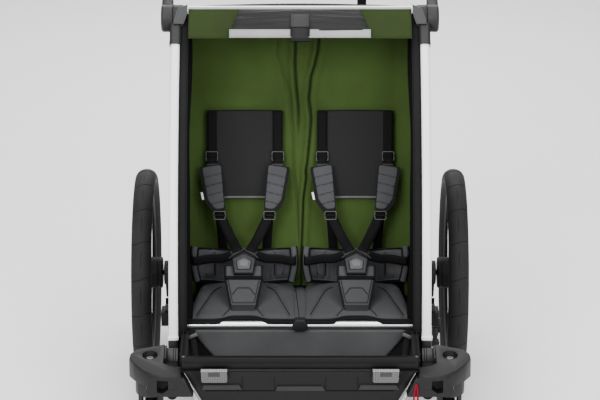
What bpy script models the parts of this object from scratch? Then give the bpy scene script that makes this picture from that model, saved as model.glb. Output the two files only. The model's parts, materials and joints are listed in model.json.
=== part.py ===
"""Two-seat child bike trailer, set up as a stroller.

Metres, +Z up, the open front towards -Y, the ground at z = 0. Side-view places are written as (y, z) pairs
with the wheel axle at y = 0; one root empty then moves the whole model so that its box is centred on Y.
"""

import math

import bmesh
import bpy
from mathutils import Vector

for old in list(bpy.data.objects):
    bpy.data.objects.remove(old, do_unlink=True)

# General clearances
GAP = 0.0004
RUNNING_GAP = 0.0012

# Heights, each from the wheels' and the rails'
WHEEL_RADIUS = 0.250
RAIL_DROP = 0.074
RAIL_HEIGHT = WHEEL_RADIUS - RAIL_DROP
PIVOT_HEIGHT = RAIL_HEIGHT + 0.036
JOINT_HEIGHT = PIVOT_HEIGHT + 0.698
SLING_TOP = RAIL_HEIGHT + 0.072
SEAT_TOP = SLING_TOP + 0.042

# Widths, each from the footwell's
TRAY_HALF_TOP = 0.2606
MEMBER_HALF_LENGTH = TRAY_HALF_TOP + 0.0006
PLATE_INNER = TRAY_HALF_TOP + 0.0059
PLATE_THICKNESS = 0.0078
RAIL_PLANE = PLATE_INNER + 0.0185
POST_PLANE = PLATE_INNER + 0.0190
JOINT_INNER = PLATE_INNER - 0.0010
JOINT_SPLIT = POST_PLANE + 0.0065
JOINT_OUTER = JOINT_SPLIT + 0.0270
CABIN_HALF_WIDTH = TRAY_HALF_TOP + 0.0044
OPENING_HALF_WIDTH = CABIN_HALF_WIDTH - 0.0095
REAR_PLANE = CABIN_HALF_WIDTH - 0.0175
WHEEL_PLANE = RAIL_PLANE + 0.085
SWIVEL_PLANE = RAIL_PLANE + 0.049
SEAT_CENTRE = CABIN_HALF_WIDTH / 2 - 0.0025

# Rear wheels
TYRE_WIDTH = 0.047
TYRE_HEIGHT = 0.046
RIM_WIDTH = 0.025
RIM_HEIGHT = 0.014
WHEEL_STEPS = 36
SPOKE_COUNT = 20
SPOKE_RADIUS = 0.0013
SPOKE_LEAN = math.radians(38)
DRUM_RADIUS = 0.0375
DRUM_WIDTH = 0.030
DRUM_REACH = 0.0135
HUB_RADIUS = 0.016
FLANGE_RADIUS = 0.024
HUB_REACH = 0.0255
AXLE_RADIUS = 0.006
AXLE_LENGTH = 0.026
BUTTON_RADIUS = 0.009
BUTTON_RAISE = 0.0055
BUTTON_SEAT = 0.0035
BUTTON_TRAVEL = 0.004
AXLE = (0.0, WHEEL_RADIUS)

# Chassis
RAIL_RADIUS = 0.0125
RAIL_FRONT = -0.555
RAIL_REAR = 0.192
BEAM_RADIUS = 0.016
CROSS_TUBE_Y = 0.120
RECEIVER_WIDTH = 0.016
RECEIVER_RADIUS = 0.031
RECEIVER_BOSS = 0.0125
HOUSING_TOP = WHEEL_RADIUS - 0.097
HOUSING_BOTTOM = HOUSING_TOP - 0.038
HOUSING_WIDTH = 0.0214
HOUSING_DEPTH = 0.040
BRAKE_PIVOT = (0.0, HOUSING_BOTTOM + 0.003)
BRAKE_THICKNESS = 0.0052

# Front hoop
FOLD_PIVOT = (-0.430, PIVOT_HEIGHT)
TOP_JOINT = (-0.080, JOINT_HEIGHT)
POST_WIDTH = 0.0215
POST_DEPTH = 0.034
POST_BOW = 0.070
POST_START = 0.062
POST_END = 0.925
POST_SEAT = 0.0016
EYE_RADIUS = 0.020
PIN_RADIUS = 0.006
JOINT_RADIUS = 0.0315
TOP_TUBE_RADIUS = 0.0095
TOP_TUBE = (TOP_JOINT[0] - 0.006, JOINT_HEIGHT + 0.022)

# Rear hoop
REAR_PIVOT = (0.170, PIVOT_HEIGHT)
REAR_TOP = (0.055, PIVOT_HEIGHT + 0.578)
REAR_RADIUS = 0.011
REAR_EYE_RADIUS = 0.018

# Handlebar
HANDLE_TOP = (0.200, JOINT_HEIGHT + 0.140)
HANDLE_RADIUS = 0.0125
HANDLE_BEND = 0.070
SOCKET_RADIUS = 0.0165
SOCKET_LENGTH = 0.056
SOCKET_DEPTH = 0.020
GRIP_RADIUS = 0.017
GRIP_HALF_LENGTH = JOINT_SPLIT - HANDLE_BEND - 0.017
STRAP_PLACE = 0.1486
STRAP_WIDTH = 0.022
STRAP_THICKNESS = 0.002
STRAP_DROP = 0.190

# Seats
SEAT_HALF_FRONT = SEAT_CENTRE - 0.0068
SEAT_HALF_REAR = SEAT_CENTRE - 0.0200
SEAT_FRONT = -0.3842
SEAT_REAR = -0.1420
SEAT_TUBE = (-0.395, SLING_TOP + 0.029)
SEAT_TUBE_RADIUS = 0.010
BACK_FOOT = (-0.1360, SLING_TOP)
BACK_SLOPE = 0.30
BACK_WALL = 0.012
MESH_LOW = SLING_TOP + 0.222
MESH_HIGH = MESH_LOW + 0.199
MESH_HALF_BOTTOM = 0.0800
MESH_HALF_TOP = 0.0898
MESH_THICKNESS = 0.006
HIP_HALF = SEAT_CENTRE - 0.0130
HIP_CURL = 0.052
HIP_FRONT = SEAT_REAR - 0.018
HIP_TOP = SEAT_TOP + 0.076

# Cabin fabric
CABIN_WALL = 0.0025
SHEET = 0.003
ROOF_REAR = (0.085, JOINT_HEIGHT - 0.026)
CABIN_REAR = 0.180
BOOT_FLOOR = WHEEL_RADIUS + BEAM_RADIUS + 0.006
BOOT_MOUTH = REAR_TOP[1] - 0.150
BOOT_MOUTH_EDGE = 0.035
LEG_ROOM = 0.044
HEADER_TOP = (TOP_TUBE[0] - 0.82 * (TOP_TUBE_RADIUS + GAP), TOP_TUBE[1] + 0.58 * (TOP_TUBE_RADIUS + GAP))
HEADER_BOTTOM = (-0.160, JOINT_HEIGHT - 0.024)
COVER_HALF_TOP = 0.1386
COVER_HALF_BOTTOM = 0.161
COVER_THICKNESS = 0.018

# Footwell
TRAY_TOP = RAIL_HEIGHT + 0.0761
TRAY_REAR_TOP = TRAY_TOP + 0.0084
TRAY_FLOOR = TRAY_TOP - 0.1221
TRAY_FRONT = -0.600
TRAY_REAR = -0.3895
TRAY_HALF_BOTTOM = TRAY_HALF_TOP - 0.053
TRAY_FRONT_FLOOR = -0.545
TRAY_REAR_FLOOR = -0.350
TRAY_WALL = 0.004
MEMBER_SIDE = 0.020
MEMBER = (-0.583, TRAY_TOP + 0.0009 + GAP + MEMBER_SIDE / 2)
REFLECTOR_WIDTH = 0.053
REFLECTOR_HEIGHT = 0.037
REFLECTOR_THICKNESS = 0.0075
REFLECTOR_OUTER = TRAY_HALF_BOTTOM + 0.0084

# Casters, and the pods that carry them, with places from the swivel axis and the pods' underside
SWIVEL = (SWIVEL_PLANE, -0.530)
POD_BOTTOM = RAIL_HEIGHT + 0.0385
POD_TOP = POD_BOTTOM + 0.0535
POD_SLOPE = 0.21
POD_FRONT = SWIVEL[1] - 0.080
POD_OUTLINE = ((-0.059, -0.080), (-0.034, -0.080), (-0.012, -0.075), (0.011, -0.060), (0.032, -0.036),
               (0.046, -0.010), (0.0445, 0.006), (0.032, 0.022), (0.001, 0.0315), (-0.0315, 0.042),
               (-0.0315, -0.030), (-0.049, -0.045))
SKIRT_FRONT = SWIVEL[1] - 0.0745
SKIRT_TOP = POD_BOTTOM + 0.0235
SKIRT_BOTTOM = POD_BOTTOM - 0.0215
SOCKET_OUTLINE = ((-0.0435, 0.0190), (-0.0435, -0.0040), (-0.030, -0.0140), (-0.0185, -0.0110),
                  (-0.0185, 0.0190))
CASTER_RADIUS = 0.080
CASTER_WIDTH = 0.028
CASTER_STEPS = 20
CASTER_TRAIL = 0.030
CASTER_CLEARANCE = 0.011
CROWN_RADIUS = 0.0335
CROWN_BOTTOM = 2 * CASTER_RADIUS + CASTER_CLEARANCE
STEM_RADIUS = 0.007
STEM_TOP = POD_BOTTOM + 0.0355
RECESS_RADIUS = 0.017
RECESS_FLOOR = STEM_TOP + 0.0015
FORK_INNER = 0.0185
FORK_ARM = 0.008
CASTER_AXLE_RADIUS = 0.004

# Pull loop, with places from the front cross member's end and the tray's top
LOOP_THICKNESS = 0.0024
LOOP_WIDTH = 0.0038
LOOP_OUTLINE = ((-0.0047, -0.0296), (-0.0077, -0.0341), (-0.0107, -0.0461), (-0.0132, -0.0721),
                (-0.0127, -0.0921), (-0.0082, -0.1021), (-0.0032, -0.1021), (0.0013, -0.0921),
                (0.0018, -0.0721), (0.0, -0.0461), (-0.0022, -0.0341))

# Crotch pad, buckle and harness
CROTCH_FOOT = (-0.333, SEAT_TOP + 0.0065)
CROTCH_HEAD = (-0.245, CROTCH_FOOT[1] + 0.069)
CROTCH_HALF_FOOT = 0.0287
CROTCH_HALF_HEAD = 0.0428
CROTCH_THICKNESS = 0.009
BUCKLE_HALF_WIDTH = 0.0290
BUCKLE_HEIGHT = 0.056
BUCKLE_THICKNESS = 0.012
BUCKLE_LOW = 0.0022
BUTTON_HALF = 0.0170
BUTTON_HEIGHT = 0.032
BUTTON_RISE = 0.010
WEBBING_WIDTH = 0.0235
WEBBING_THICKNESS = 0.0025
SHOULDER_PAD_WIDTH = 0.044
SHOULDER_PAD_THICKNESS = 0.013

# Strap places: out from a seat's middle, up from the sling, and forward of the back line
STRAND_TOP = ((0.0777, 0.416), (0.0777, 0.362))
STRAND = ((0.0777, 0.312, 0.0235), (0.0770, 0.282, 0.0270), (0.0710, 0.242, 0.0400),
          (0.0612, 0.204, 0.0540), (0.0540, 0.182, 0.0640), (0.0400, 0.157, 0.0870))
LOWER_STRAND = ((0.0612, 0.208, 0.0549), (0.0620, 0.172, 0.0556), (0.0640, 0.125, 0.0445))
BELT = ((0.106, 0.090, 0.0145), (0.085, 0.100, 0.0120), (0.060, 0.110, 0.022))

# The model's box runs from the pods' front to the back of the rear tyres
CENTRE_SHIFT = -(POD_FRONT + WHEEL_RADIUS) / 2


def material(name, colour, roughness, metallic=0.0):
    made = bpy.data.materials.new(name)
    made.use_nodes = True
    shader = made.node_tree.nodes["Principled BSDF"]
    shader.inputs["Base Color"].default_value = (*colour, 1.0)
    shader.inputs["Roughness"].default_value = roughness
    shader.inputs["Metallic"].default_value = metallic
    made.diffuse_color = (*colour, 1.0)
    return made


WHITE_PAINT = material("white_paint", (0.80, 0.82, 0.82), 0.35)
BLACK_PAINT = material("black_paint", (0.020, 0.019, 0.021), 0.45)
BARE_ALUMINIUM = material("bare_aluminium", (0.72, 0.73, 0.74), 0.30, 1.0)
BLACK_PLASTIC = material("black_plastic", (0.045, 0.045, 0.047), 0.50)
GREY_PLASTIC = material("grey_plastic", (0.13, 0.13, 0.135), 0.45)
TYRE_RUBBER = material("tyre_rubber", (0.018, 0.018, 0.019), 0.85)
FOAM = material("foam", (0.022, 0.022, 0.023), 0.80)
GREEN_FABRIC = material("green_fabric", (0.045, 0.085, 0.014), 0.85)
GREY_FABRIC = material("grey_fabric", (0.085, 0.085, 0.090), 0.85)
DARK_FABRIC = material("dark_fabric", (0.026, 0.026, 0.027), 0.88)
WEBBING = material("black_webbing", (0.010, 0.009, 0.011), 0.75)
RED_WEBBING = material("red_webbing", (0.30, 0.007, 0.022), 0.70)
REFLECTOR = material("clear_reflector", (0.30, 0.31, 0.30), 0.15)


def empty(name, place, carrier=None):
    made = bpy.data.objects.new(name, None)
    bpy.context.scene.collection.objects.link(made)
    made.parent = carrier
    made["place"] = tuple(place)
    made.location = Vector(place) - Vector(carrier["place"] if carrier else (0, 0, 0))
    return made


def root_empty():
    made = empty("trailer", (0, 0, 0))
    made.location = (0, CENTRE_SHIFT, 0)
    return made


ROOT = root_empty()


def place_mesh(name, bm, finish, carrier=None):
    """Closes a bmesh into an object whose mesh keeps the axle frame's own coordinates."""
    carrier = carrier or ROOT
    bmesh.ops.recalc_face_normals(bm, faces=bm.faces)
    mesh = bpy.data.meshes.new(name)
    bm.to_mesh(mesh)
    bm.free()
    mesh.shade_smooth()
    mesh.set_sharp_from_angle(angle=math.radians(35))
    mesh.materials.append(finish)
    made = bpy.data.objects.new(name, mesh)
    bpy.context.scene.collection.objects.link(made)
    made.parent = carrier
    made.location = -Vector(carrier["place"])
    return made


def combine(target, bm, operation, finish=None):
    """Joins a second shape to an object, or cuts it away, through a hidden guide."""
    guide = place_mesh(f"guide_{len(bpy.data.objects)}", bm, finish or target.data.materials[0])
    guide.hide_render = True
    guide.display_type = "WIRE"
    modifier = target.modifiers.new(operation.lower(), "BOOLEAN")
    modifier.operation = operation
    modifier.object = guide
    return target


def join(target, *shapes):
    for shape in shapes:
        combine(target, shape, "UNION")
    return target


def cut(target, *shapes):
    for shape in shapes:
        combine(target, shape, "DIFFERENCE")
    return target


def skin(rings, closed=False):
    """A closed body over rings of points, capped at its ends or joined round to its start."""
    bm = bmesh.new()
    loops = [[bm.verts.new(point) for point in ring] for ring in rings]
    pairs = list(zip(loops, loops[1:]))
    if closed:
        pairs.append((loops[-1], loops[0]))
    for low, high in pairs:
        for i in range(len(low)):
            j = (i + 1) % len(low)
            bm.faces.new((low[i], low[j], high[j], high[i]))
    if not closed:
        bm.faces.new(loops[0])
        bm.faces.new(loops[-1])
    return bm


def turned(profile, centre, axis="X", steps=24, ring=False):
    """A profile of (radius, place along the axis) turned about an axis through a centre."""
    rings = []
    for radius, along in profile:
        circle = []
        for i in range(steps):
            angle = 2 * math.pi * i / steps
            first, second = radius * math.cos(angle), radius * math.sin(angle)
            offset = {"X": (along, first, second), "Y": (first, along, second), "Z": (first, second, along)}
            circle.append(Vector(centre) + Vector(offset[axis]))
        rings.append(circle)
    return skin(rings, ring)


def prism(outline, low, high, axis="X"):
    """An outline of two coordinates carried from low to high along the third."""
    rings = []
    for along in (low, high):
        places = {"X": [(along, a, b) for a, b in outline], "Y": [(a, along, b) for a, b in outline],
                  "Z": [(a, b, along) for a, b in outline]}
        rings.append([Vector(place) for place in places[axis]])
    return skin(rings)


def arc(centre, radius, start, end, steps):
    """Points of an arc in a plane, angles in degrees."""
    points = []
    for i in range(steps + 1):
        angle = math.radians(start + (end - start) * i / steps)
        points.append((centre[0] + radius * math.cos(angle), centre[1] + radius * math.sin(angle)))
    return points


def rounded_path(corners, radius, steps=5):
    """A path of straight runs whose inner corners are turned into arcs."""
    corners = [Vector(corner) for corner in corners]
    path = [corners[0]]
    for before, corner, after in zip(corners, corners[1:], corners[2:]):
        back, ahead = (before - corner).normalized(), (after - corner).normalized()
        half = back.angle(ahead) / 2
        reach = radius / math.tan(half)
        middle = corner + (back + ahead).normalized() * radius / math.sin(half)
        first, last = corner + back * reach - middle, corner + ahead * reach - middle
        for i in range(steps + 1):
            share = i / steps
            path.append(middle + first.slerp(last, share).normalized() * radius)
    path.append(corners[-1])
    return path


def sweep(path, section, side, closed=False):
    """A flat section of (side, up) points carried along a path, with side kept square to it."""
    path = [Vector(point) for point in path]
    rings = []
    count = len(path)
    across = Vector(side).normalized()
    for i, point in enumerate(path):
        before = path[i - 1] if closed or i else path[0]
        after = path[(i + 1) % count] if closed or i < count - 1 else path[-1]
        ahead = (after - before).normalized()
        across = (across - ahead * across.dot(ahead)).normalized()
        up = ahead.cross(across)
        rings.append([point + across * a + up * b for a, b in section])
    return skin(rings, closed)


def circle_section(radius, steps=12):
    return [(radius * math.cos(2 * math.pi * i / steps), radius * math.sin(2 * math.pi * i / steps))
            for i in range(steps)]


def box_section(width, height, round_off, steps=2):
    """A rectangle whose corners are rounded in a few steps."""
    points = []
    for turn, (a, b) in enumerate(((1, 1), (-1, 1), (-1, -1), (1, -1))):
        middle = (a * (width / 2 - round_off), b * (height / 2 - round_off))
        points += arc(middle, round_off, 90 * turn, 90 * turn + 90, steps)
    return points


def flat_section(width, thickness):
    return [(-width / 2, -thickness / 2), (width / 2, -thickness / 2),
            (width / 2, thickness / 2), (-width / 2, thickness / 2)]


def sheet_solid(front, back, columns, rows):
    """A closed body between two surfaces, each a function of two shares from 0 to 1."""
    bm = bmesh.new()
    faces = []
    for surface in (front, back):
        faces.append([[bm.verts.new(surface(i / columns, j / rows)) for j in range(rows + 1)]
                      for i in range(columns + 1)])
    for grid in faces:
        for i in range(columns):
            for j in range(rows):
                bm.faces.new((grid[i][j], grid[i + 1][j], grid[i + 1][j + 1], grid[i][j + 1]))
    rim = [(i, 0) for i in range(columns)] + [(columns, j) for j in range(rows)]
    rim += [(i, rows) for i in range(columns, 0, -1)] + [(0, j) for j in range(rows, 0, -1)]
    for (i, j), (k, m) in zip(rim, rim[1:] + rim[:1]):
        bm.faces.new((faces[0][i][j], faces[0][k][m], faces[1][k][m], faces[1][i][j]))
    return bm


def side_name(name, side):
    return f"{name}_{'left' if side < 0 else 'right'}"


def post_arc():
    """Centre, radius and angles of the arc that the posts follow in side view."""
    foot, head = Vector(FOLD_PIVOT), Vector(TOP_JOINT)
    chord = (head - foot).length
    radius = (chord ** 2 / 4 + POST_BOW ** 2) / (2 * POST_BOW)
    along = (head - foot).normalized()
    inward = Vector((along.y, -along.x))
    centre = (foot + head) / 2 + inward * (radius - POST_BOW)
    start = math.atan2(foot.y - centre.y, foot.x - centre.x)
    end = math.atan2(head.y - centre.y, head.x - centre.x)
    if start < 0:
        start += 2 * math.pi
    return centre, radius, start, end


def on_post(share, forward=0.0):
    """The (y, z) place at a share of the posts' arc, moved forward square to it."""
    centre, radius, start, end = post_arc()
    angle = start + (end - start) * share
    reach = radius + forward
    return centre.x + reach * math.cos(angle), centre.y + reach * math.sin(angle)


def back_line(height):
    """Y of the seat backs' front face at a height."""
    return BACK_FOOT[0] + (height - BACK_FOOT[1]) * BACK_SLOPE


def bump(distance, width):
    return math.exp(-(distance / width) ** 2)


# Chassis


def side_rail(side):
    """A base tube with the plate and pin of the front hoop, and those of the rear hoop."""
    rail = turned([(RAIL_RADIUS, RAIL_FRONT), (RAIL_RADIUS, RAIL_REAR)],
                  (side * RAIL_PLANE, 0, RAIL_HEIGHT), "Y", 16)
    made = place_mesh(side_name("side_rail", side), rail, BLACK_PAINT)
    plate_outer = PLATE_INNER + PLATE_THICKNESS
    outline = [(FOLD_PIVOT[0] - EYE_RADIUS, RAIL_HEIGHT)]
    outline += arc(FOLD_PIVOT, EYE_RADIUS, 180, 95, 5)
    outline += arc(SEAT_TUBE, SEAT_TUBE_RADIUS + 0.004, 150, -30, 7)
    outline += [(FOLD_PIVOT[0] + 2.4 * EYE_RADIUS, RAIL_HEIGHT)]
    front_plate = prism(outline, side * PLATE_INNER, side * plate_outer)
    pin_end = POST_PLANE + POST_WIDTH / 2 + 0.002
    front_pin = turned([(PIN_RADIUS, side * (plate_outer - 0.002)), (PIN_RADIUS, side * pin_end)],
                       (0, *FOLD_PIVOT), "X", 12)
    eye_outer = REAR_PLANE + REAR_RADIUS + 0.001
    outline = [(REAR_PIVOT[0] - REAR_EYE_RADIUS, RAIL_HEIGHT)]
    outline += arc(REAR_PIVOT, REAR_EYE_RADIUS, 180, 0, 8)
    outline += [(REAR_PIVOT[0] + REAR_EYE_RADIUS, RAIL_HEIGHT)]
    rear_plate = prism(outline, side * eye_outer, side * plate_outer)
    pin_end = REAR_PLANE - REAR_RADIUS
    rear_pin = turned([(PIN_RADIUS, side * (eye_outer + 0.002)), (PIN_RADIUS, side * pin_end)],
                      (0, *REAR_PIVOT), "X", 12)
    return join(made, front_plate, front_pin, rear_plate, rear_pin)


def axle_beam():
    """The tube between the wheels, with a saddle that stands on each rail."""
    reach = RAIL_PLANE + RAIL_RADIUS + RUNNING_GAP
    beam = turned([(BEAM_RADIUS, -reach), (BEAM_RADIUS, reach)], (0, *AXLE), "X", 20)
    made = place_mesh("axle_beam", beam, BLACK_PAINT)
    foot = RAIL_HEIGHT + RAIL_RADIUS + GAP
    outline = [(-0.024, foot), (0.024, foot), (0.024, foot + 0.012), (0.013, AXLE[1]), (-0.013, AXLE[1]),
               (-0.024, foot + 0.012)]
    saddles = [prism(outline, side * (RAIL_PLANE - 0.011), side * (RAIL_PLANE + 0.012)) for side in (-1, 1)]
    return join(made, *saddles)


def rear_cross_tube():
    reach = RAIL_PLANE - RAIL_RADIUS - GAP
    tube = turned([(RAIL_RADIUS - 0.001, -reach), (RAIL_RADIUS - 0.001, reach)],
                  (0, CROSS_TUBE_Y, RAIL_HEIGHT), "X", 16)
    return place_mesh("rear_cross_tube", tube, BLACK_PAINT)


def seat_front_tube():
    """The bare tube under the seats' front edge, with its moulded centre clip."""
    reach = PLATE_INNER - GAP
    tube = turned([(SEAT_TUBE_RADIUS, -reach), (SEAT_TUBE_RADIUS, reach)], (0, *SEAT_TUBE), "X", 20)
    made = place_mesh("seat_front_tube", tube, BARE_ALUMINIUM)
    y, z = SEAT_TUBE
    outline = [(-0.018, z - 0.016), (0.018, z - 0.016), (0.0165, z + 0.006), (0.010, z + 0.017),
               (-0.010, z + 0.017), (-0.0165, z + 0.006)]
    return join(made, prism(outline, y - 0.0155, y + 0.004, "Y"))


def front_cross_member():
    """The square rounded bar across the footwell's front edge."""
    section = box_section(MEMBER_SIDE, MEMBER_SIDE, 0.0035)
    path = [(-MEMBER_HALF_LENGTH, *MEMBER), (MEMBER_HALF_LENGTH, *MEMBER)]
    return place_mesh("front_cross_member", sweep(path, section, (0, 1, 0)), BLACK_PAINT)


def tray_ring(height_share, inset=0.0, above=0.0):
    """The tray's rounded outline at a share of its depth, seen from above."""
    half = TRAY_HALF_BOTTOM + (TRAY_HALF_TOP - TRAY_HALF_BOTTOM) * height_share - inset
    front = TRAY_FRONT_FLOOR + (TRAY_FRONT - TRAY_FRONT_FLOOR) * height_share + inset
    rear = TRAY_REAR_FLOOR + (TRAY_REAR - TRAY_REAR_FLOOR) * height_share - inset
    front_height = TRAY_FLOOR + (TRAY_TOP - TRAY_FLOOR) * height_share + above
    rear_height = TRAY_FLOOR + (TRAY_REAR_TOP - TRAY_FLOOR) * height_share + above
    ring = []
    middle = (front + rear) / 2
    for x, y in box_section(2 * half, rear - front, 0.012 - inset):
        share = (y - (front - rear) / 2) / (rear - front)
        ring.append(Vector((x, middle + y, front_height + (rear_height - front_height) * share)))
    return ring


def footwell_tray():
    """An open tub with sloping walls under the feet."""
    made = place_mesh("footwell_tray", skin([tray_ring(0), tray_ring(1)]), BLACK_PLASTIC)
    floor_share = TRAY_WALL / (TRAY_TOP - TRAY_FLOOR)
    return cut(made, skin([tray_ring(floor_share, TRAY_WALL), tray_ring(1.2, TRAY_WALL)]))


def on_tray_front(x, up, out):
    """A place on the tray's sloping front, up from its top edge and out from its face."""
    slope = Vector((0, TRAY_FRONT - TRAY_FRONT_FLOOR, TRAY_TOP - TRAY_FLOOR)).normalized()
    outward = Vector((0, -slope.z, slope.y))
    return Vector((x, TRAY_FRONT, TRAY_TOP)) + slope * up + outward * out


def reflector(side):
    """A moulded reflector with rounded lower corners on the tray's front."""
    inner, outer = REFLECTOR_OUTER - REFLECTOR_WIDTH, REFLECTOR_OUTER
    height, thickness = REFLECTOR_HEIGHT, REFLECTOR_THICKNESS
    outline = [(inner, -0.0015), (inner, -height + 0.010)]
    outline += arc((inner + 0.010, -height + 0.010), 0.010, 180, 270, 4)
    outline += arc((outer - 0.010, -height + 0.010), 0.010, 270, 360, 4)
    outline += [(outer, -0.0015)]
    rings = [[on_tray_front(side * x, up, GAP) for x, up in outline]]
    rings.append([on_tray_front(side * x, up, thickness - 0.0015) for x, up in outline])
    middle = Vector(((inner + outer) / 2, -height / 2))
    shrunk = [middle + (Vector(point) - middle) * 0.94 for point in outline]
    rings.append([on_tray_front(side * x, up, thickness) for x, up in shrunk])
    return place_mesh(side_name("reflector", side), skin(rings), REFLECTOR)


def pod(side):
    """A moulded housing that carries a caster, with a socket in front and a screw recess on top."""
    swivel_x, swivel_y = SWIVEL
    inner = MEMBER_HALF_LENGTH + GAP
    outline = [(inner, swivel_y - 0.045), (inner, swivel_y - 0.072)]
    outline += [(swivel_x + x, swivel_y + y) for x, y in POD_OUTLINE]
    bottom = [Vector((side * x, y, POD_BOTTOM)) for x, y in outline]
    middle = Vector((swivel_x - 0.009, swivel_y - 0.015))
    level_y = swivel_y + 0.030
    tops = []
    for lift, share in ((0.004, 1.0), (0.0, 0.965)):
        ring = [middle + (Vector(point) - middle) * share for point in outline]
        tops.append([Vector((side * x, y, POD_TOP + POD_SLOPE * (y - level_y) - lift)) for x, y in ring])
    made = place_mesh(side_name("pod", side), skin([bottom, *tops]), BLACK_PLASTIC)
    slope = (TRAY_HALF_TOP - TRAY_HALF_BOTTOM) / (TRAY_TOP - TRAY_FLOOR)
    tray_edge = [TRAY_HALF_TOP - (TRAY_TOP - z) * slope + RUNNING_GAP for z in (SKIRT_TOP, SKIRT_BOTTOM)]
    outline = [(tray_edge[0], SKIRT_TOP), (swivel_x - 0.004, SKIRT_TOP),
               (swivel_x + 0.007, SKIRT_BOTTOM + 0.012), (swivel_x - 0.003, SKIRT_BOTTOM),
               (tray_edge[1], SKIRT_BOTTOM)]
    skirt = prism([(side * x, z) for x, z in outline], SKIRT_FRONT, swivel_y - 0.042, "Y")
    saddle_foot = RAIL_HEIGHT + RAIL_RADIUS + GAP
    saddle_inner = PLATE_INNER + PLATE_THICKNESS + 0.0005
    saddle_outer, saddle_top = swivel_x - 0.028, POD_BOTTOM + 0.0135
    crown_edge = swivel_x - CROWN_RADIUS - 0.0007
    outline = [(saddle_inner, saddle_foot), (crown_edge, saddle_foot), (crown_edge, POD_BOTTOM),
               (saddle_outer, POD_BOTTOM), (saddle_outer, saddle_top), (saddle_inner, saddle_top)]
    saddle = prism([(side * x, z) for x, z in outline], swivel_y - 0.043, swivel_y + 0.073, "Y")
    join(made, skirt, saddle)
    swivel = (side * swivel_x, swivel_y, 0)
    bore = turned([(STEM_RADIUS + GAP, POD_BOTTOM - 0.01), (STEM_RADIUS + GAP, RECESS_FLOOR + 0.01)],
                  swivel, "Z", 16)
    recess = turned([(RECESS_RADIUS, RECESS_FLOOR), (RECESS_RADIUS, POD_TOP + 0.01)], swivel, "Z", 24)
    outline = [(side * (swivel_x + x), POD_BOTTOM + z) for x, z in SOCKET_OUTLINE]
    socket = prism(outline, swivel_y - 0.090, swivel_y - 0.048, "Y")
    return cut(made, bore, recess, socket)


def axle_receiver(side):
    """The casting that takes a wheel's axle, with the housing that hangs below it."""
    inner = RAIL_PLANE + RAIL_RADIUS + RUNNING_GAP + GAP
    outer = inner + RECEIVER_WIDTH
    outline = arc(AXLE, RECEIVER_RADIUS, -25, 205, 14)
    shoulder = AXLE[1] - 0.055
    outline += [(-0.020, shoulder), (-0.015, HOUSING_TOP - 0.01), (0.015, HOUSING_TOP - 0.01),
                (0.020, shoulder)]
    made = place_mesh(side_name("axle_receiver", side), prism(outline, side * inner, side * outer),
                      BLACK_PLASTIC)
    boss = turned([(RECEIVER_RADIUS - 0.002, side * (outer - 0.002)),
                   (RECEIVER_RADIUS - 0.002, side * (outer + RECEIVER_BOSS - 0.002)),
                   (RECEIVER_RADIUS - 0.004, side * (outer + RECEIVER_BOSS))], (0, *AXLE), "X", 24)
    half = HOUSING_DEPTH / 2
    outline = [(-half, HOUSING_BOTTOM + 0.006), (-half + 0.006, HOUSING_BOTTOM),
               (half - 0.006, HOUSING_BOTTOM), (half, HOUSING_BOTTOM + 0.006), (half, HOUSING_TOP - 0.003),
               (half + 0.003, HOUSING_TOP - 0.003), (half + 0.003, HOUSING_TOP),
               (-half - 0.003, HOUSING_TOP), (-half - 0.003, HOUSING_TOP - 0.003),
               (-half, HOUSING_TOP - 0.003)]
    housing = prism(outline, side * (inner + 0.004), side * (outer + HOUSING_WIDTH))
    join(made, boss, housing)
    bore_end = WHEEL_PLANE - HUB_REACH - DRUM_REACH - AXLE_LENGTH - 0.001
    bore = turned([(AXLE_RADIUS + GAP, side * bore_end), (AXLE_RADIUS + GAP, side * (outer + 0.02))],
                  (0, *AXLE), "X", 16)
    return cut(made, bore)


def brake_lever(carrier):
    """The foot lever on the right housing: an eye, an arm and a shank with a round knob."""
    inner = RAIL_PLANE + RAIL_RADIUS + RUNNING_GAP + GAP + RECEIVER_WIDTH + HOUSING_WIDTH + GAP
    outer = inner + BRAKE_THICKNESS
    level = BRAKE_PIVOT[1]
    eye = turned([(0.011, inner), (0.011, outer)], (0, *BRAKE_PIVOT), "X", 20)
    made = place_mesh("brake_lever", eye, GREY_PLASTIC, carrier)
    arm = prism([(-0.006, level - 0.024), (0.006, level - 0.024), (0.008, level), (-0.008, level)],
                inner + 0.0002, outer - 0.0002)
    shank = turned([(0.0085, -0.0100), (0.0085, -0.0290), (0.0050, -0.0405), (0.0095, -0.0445),
                    (0.0112, -0.0525), (0.0095, -0.0605), (0.0050, -0.0640)],
                   (inner - 0.0075, 0, level), "Z", 16)
    return join(made, arm, shank)


def pull_loop():
    """The red loop of webbing that hangs at the right pod."""
    plane = SKIRT_FRONT - GAP - LOOP_THICKNESS / 2
    path = [(MEMBER_HALF_LENGTH + x, plane, TRAY_TOP + z) for x, z in LOOP_OUTLINE]
    section = flat_section(LOOP_THICKNESS, LOOP_WIDTH)
    return place_mesh("pull_loop", sweep(path, section, (0, 1, 0), True), RED_WEBBING)


# Front hoop


def front_post(side, carrier):
    """A bowed post of rounded rectangular tube."""
    steps = 10
    shares = [POST_START + (POST_END - POST_START) * i / steps for i in range(steps + 1)]
    path = [(side * POST_PLANE, *on_post(share)) for share in shares]
    section = box_section(POST_WIDTH, POST_DEPTH, 0.0065)
    return place_mesh(side_name("front_post", side), sweep(path, section, (1, 0, 0)), WHITE_PAINT, carrier)


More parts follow.
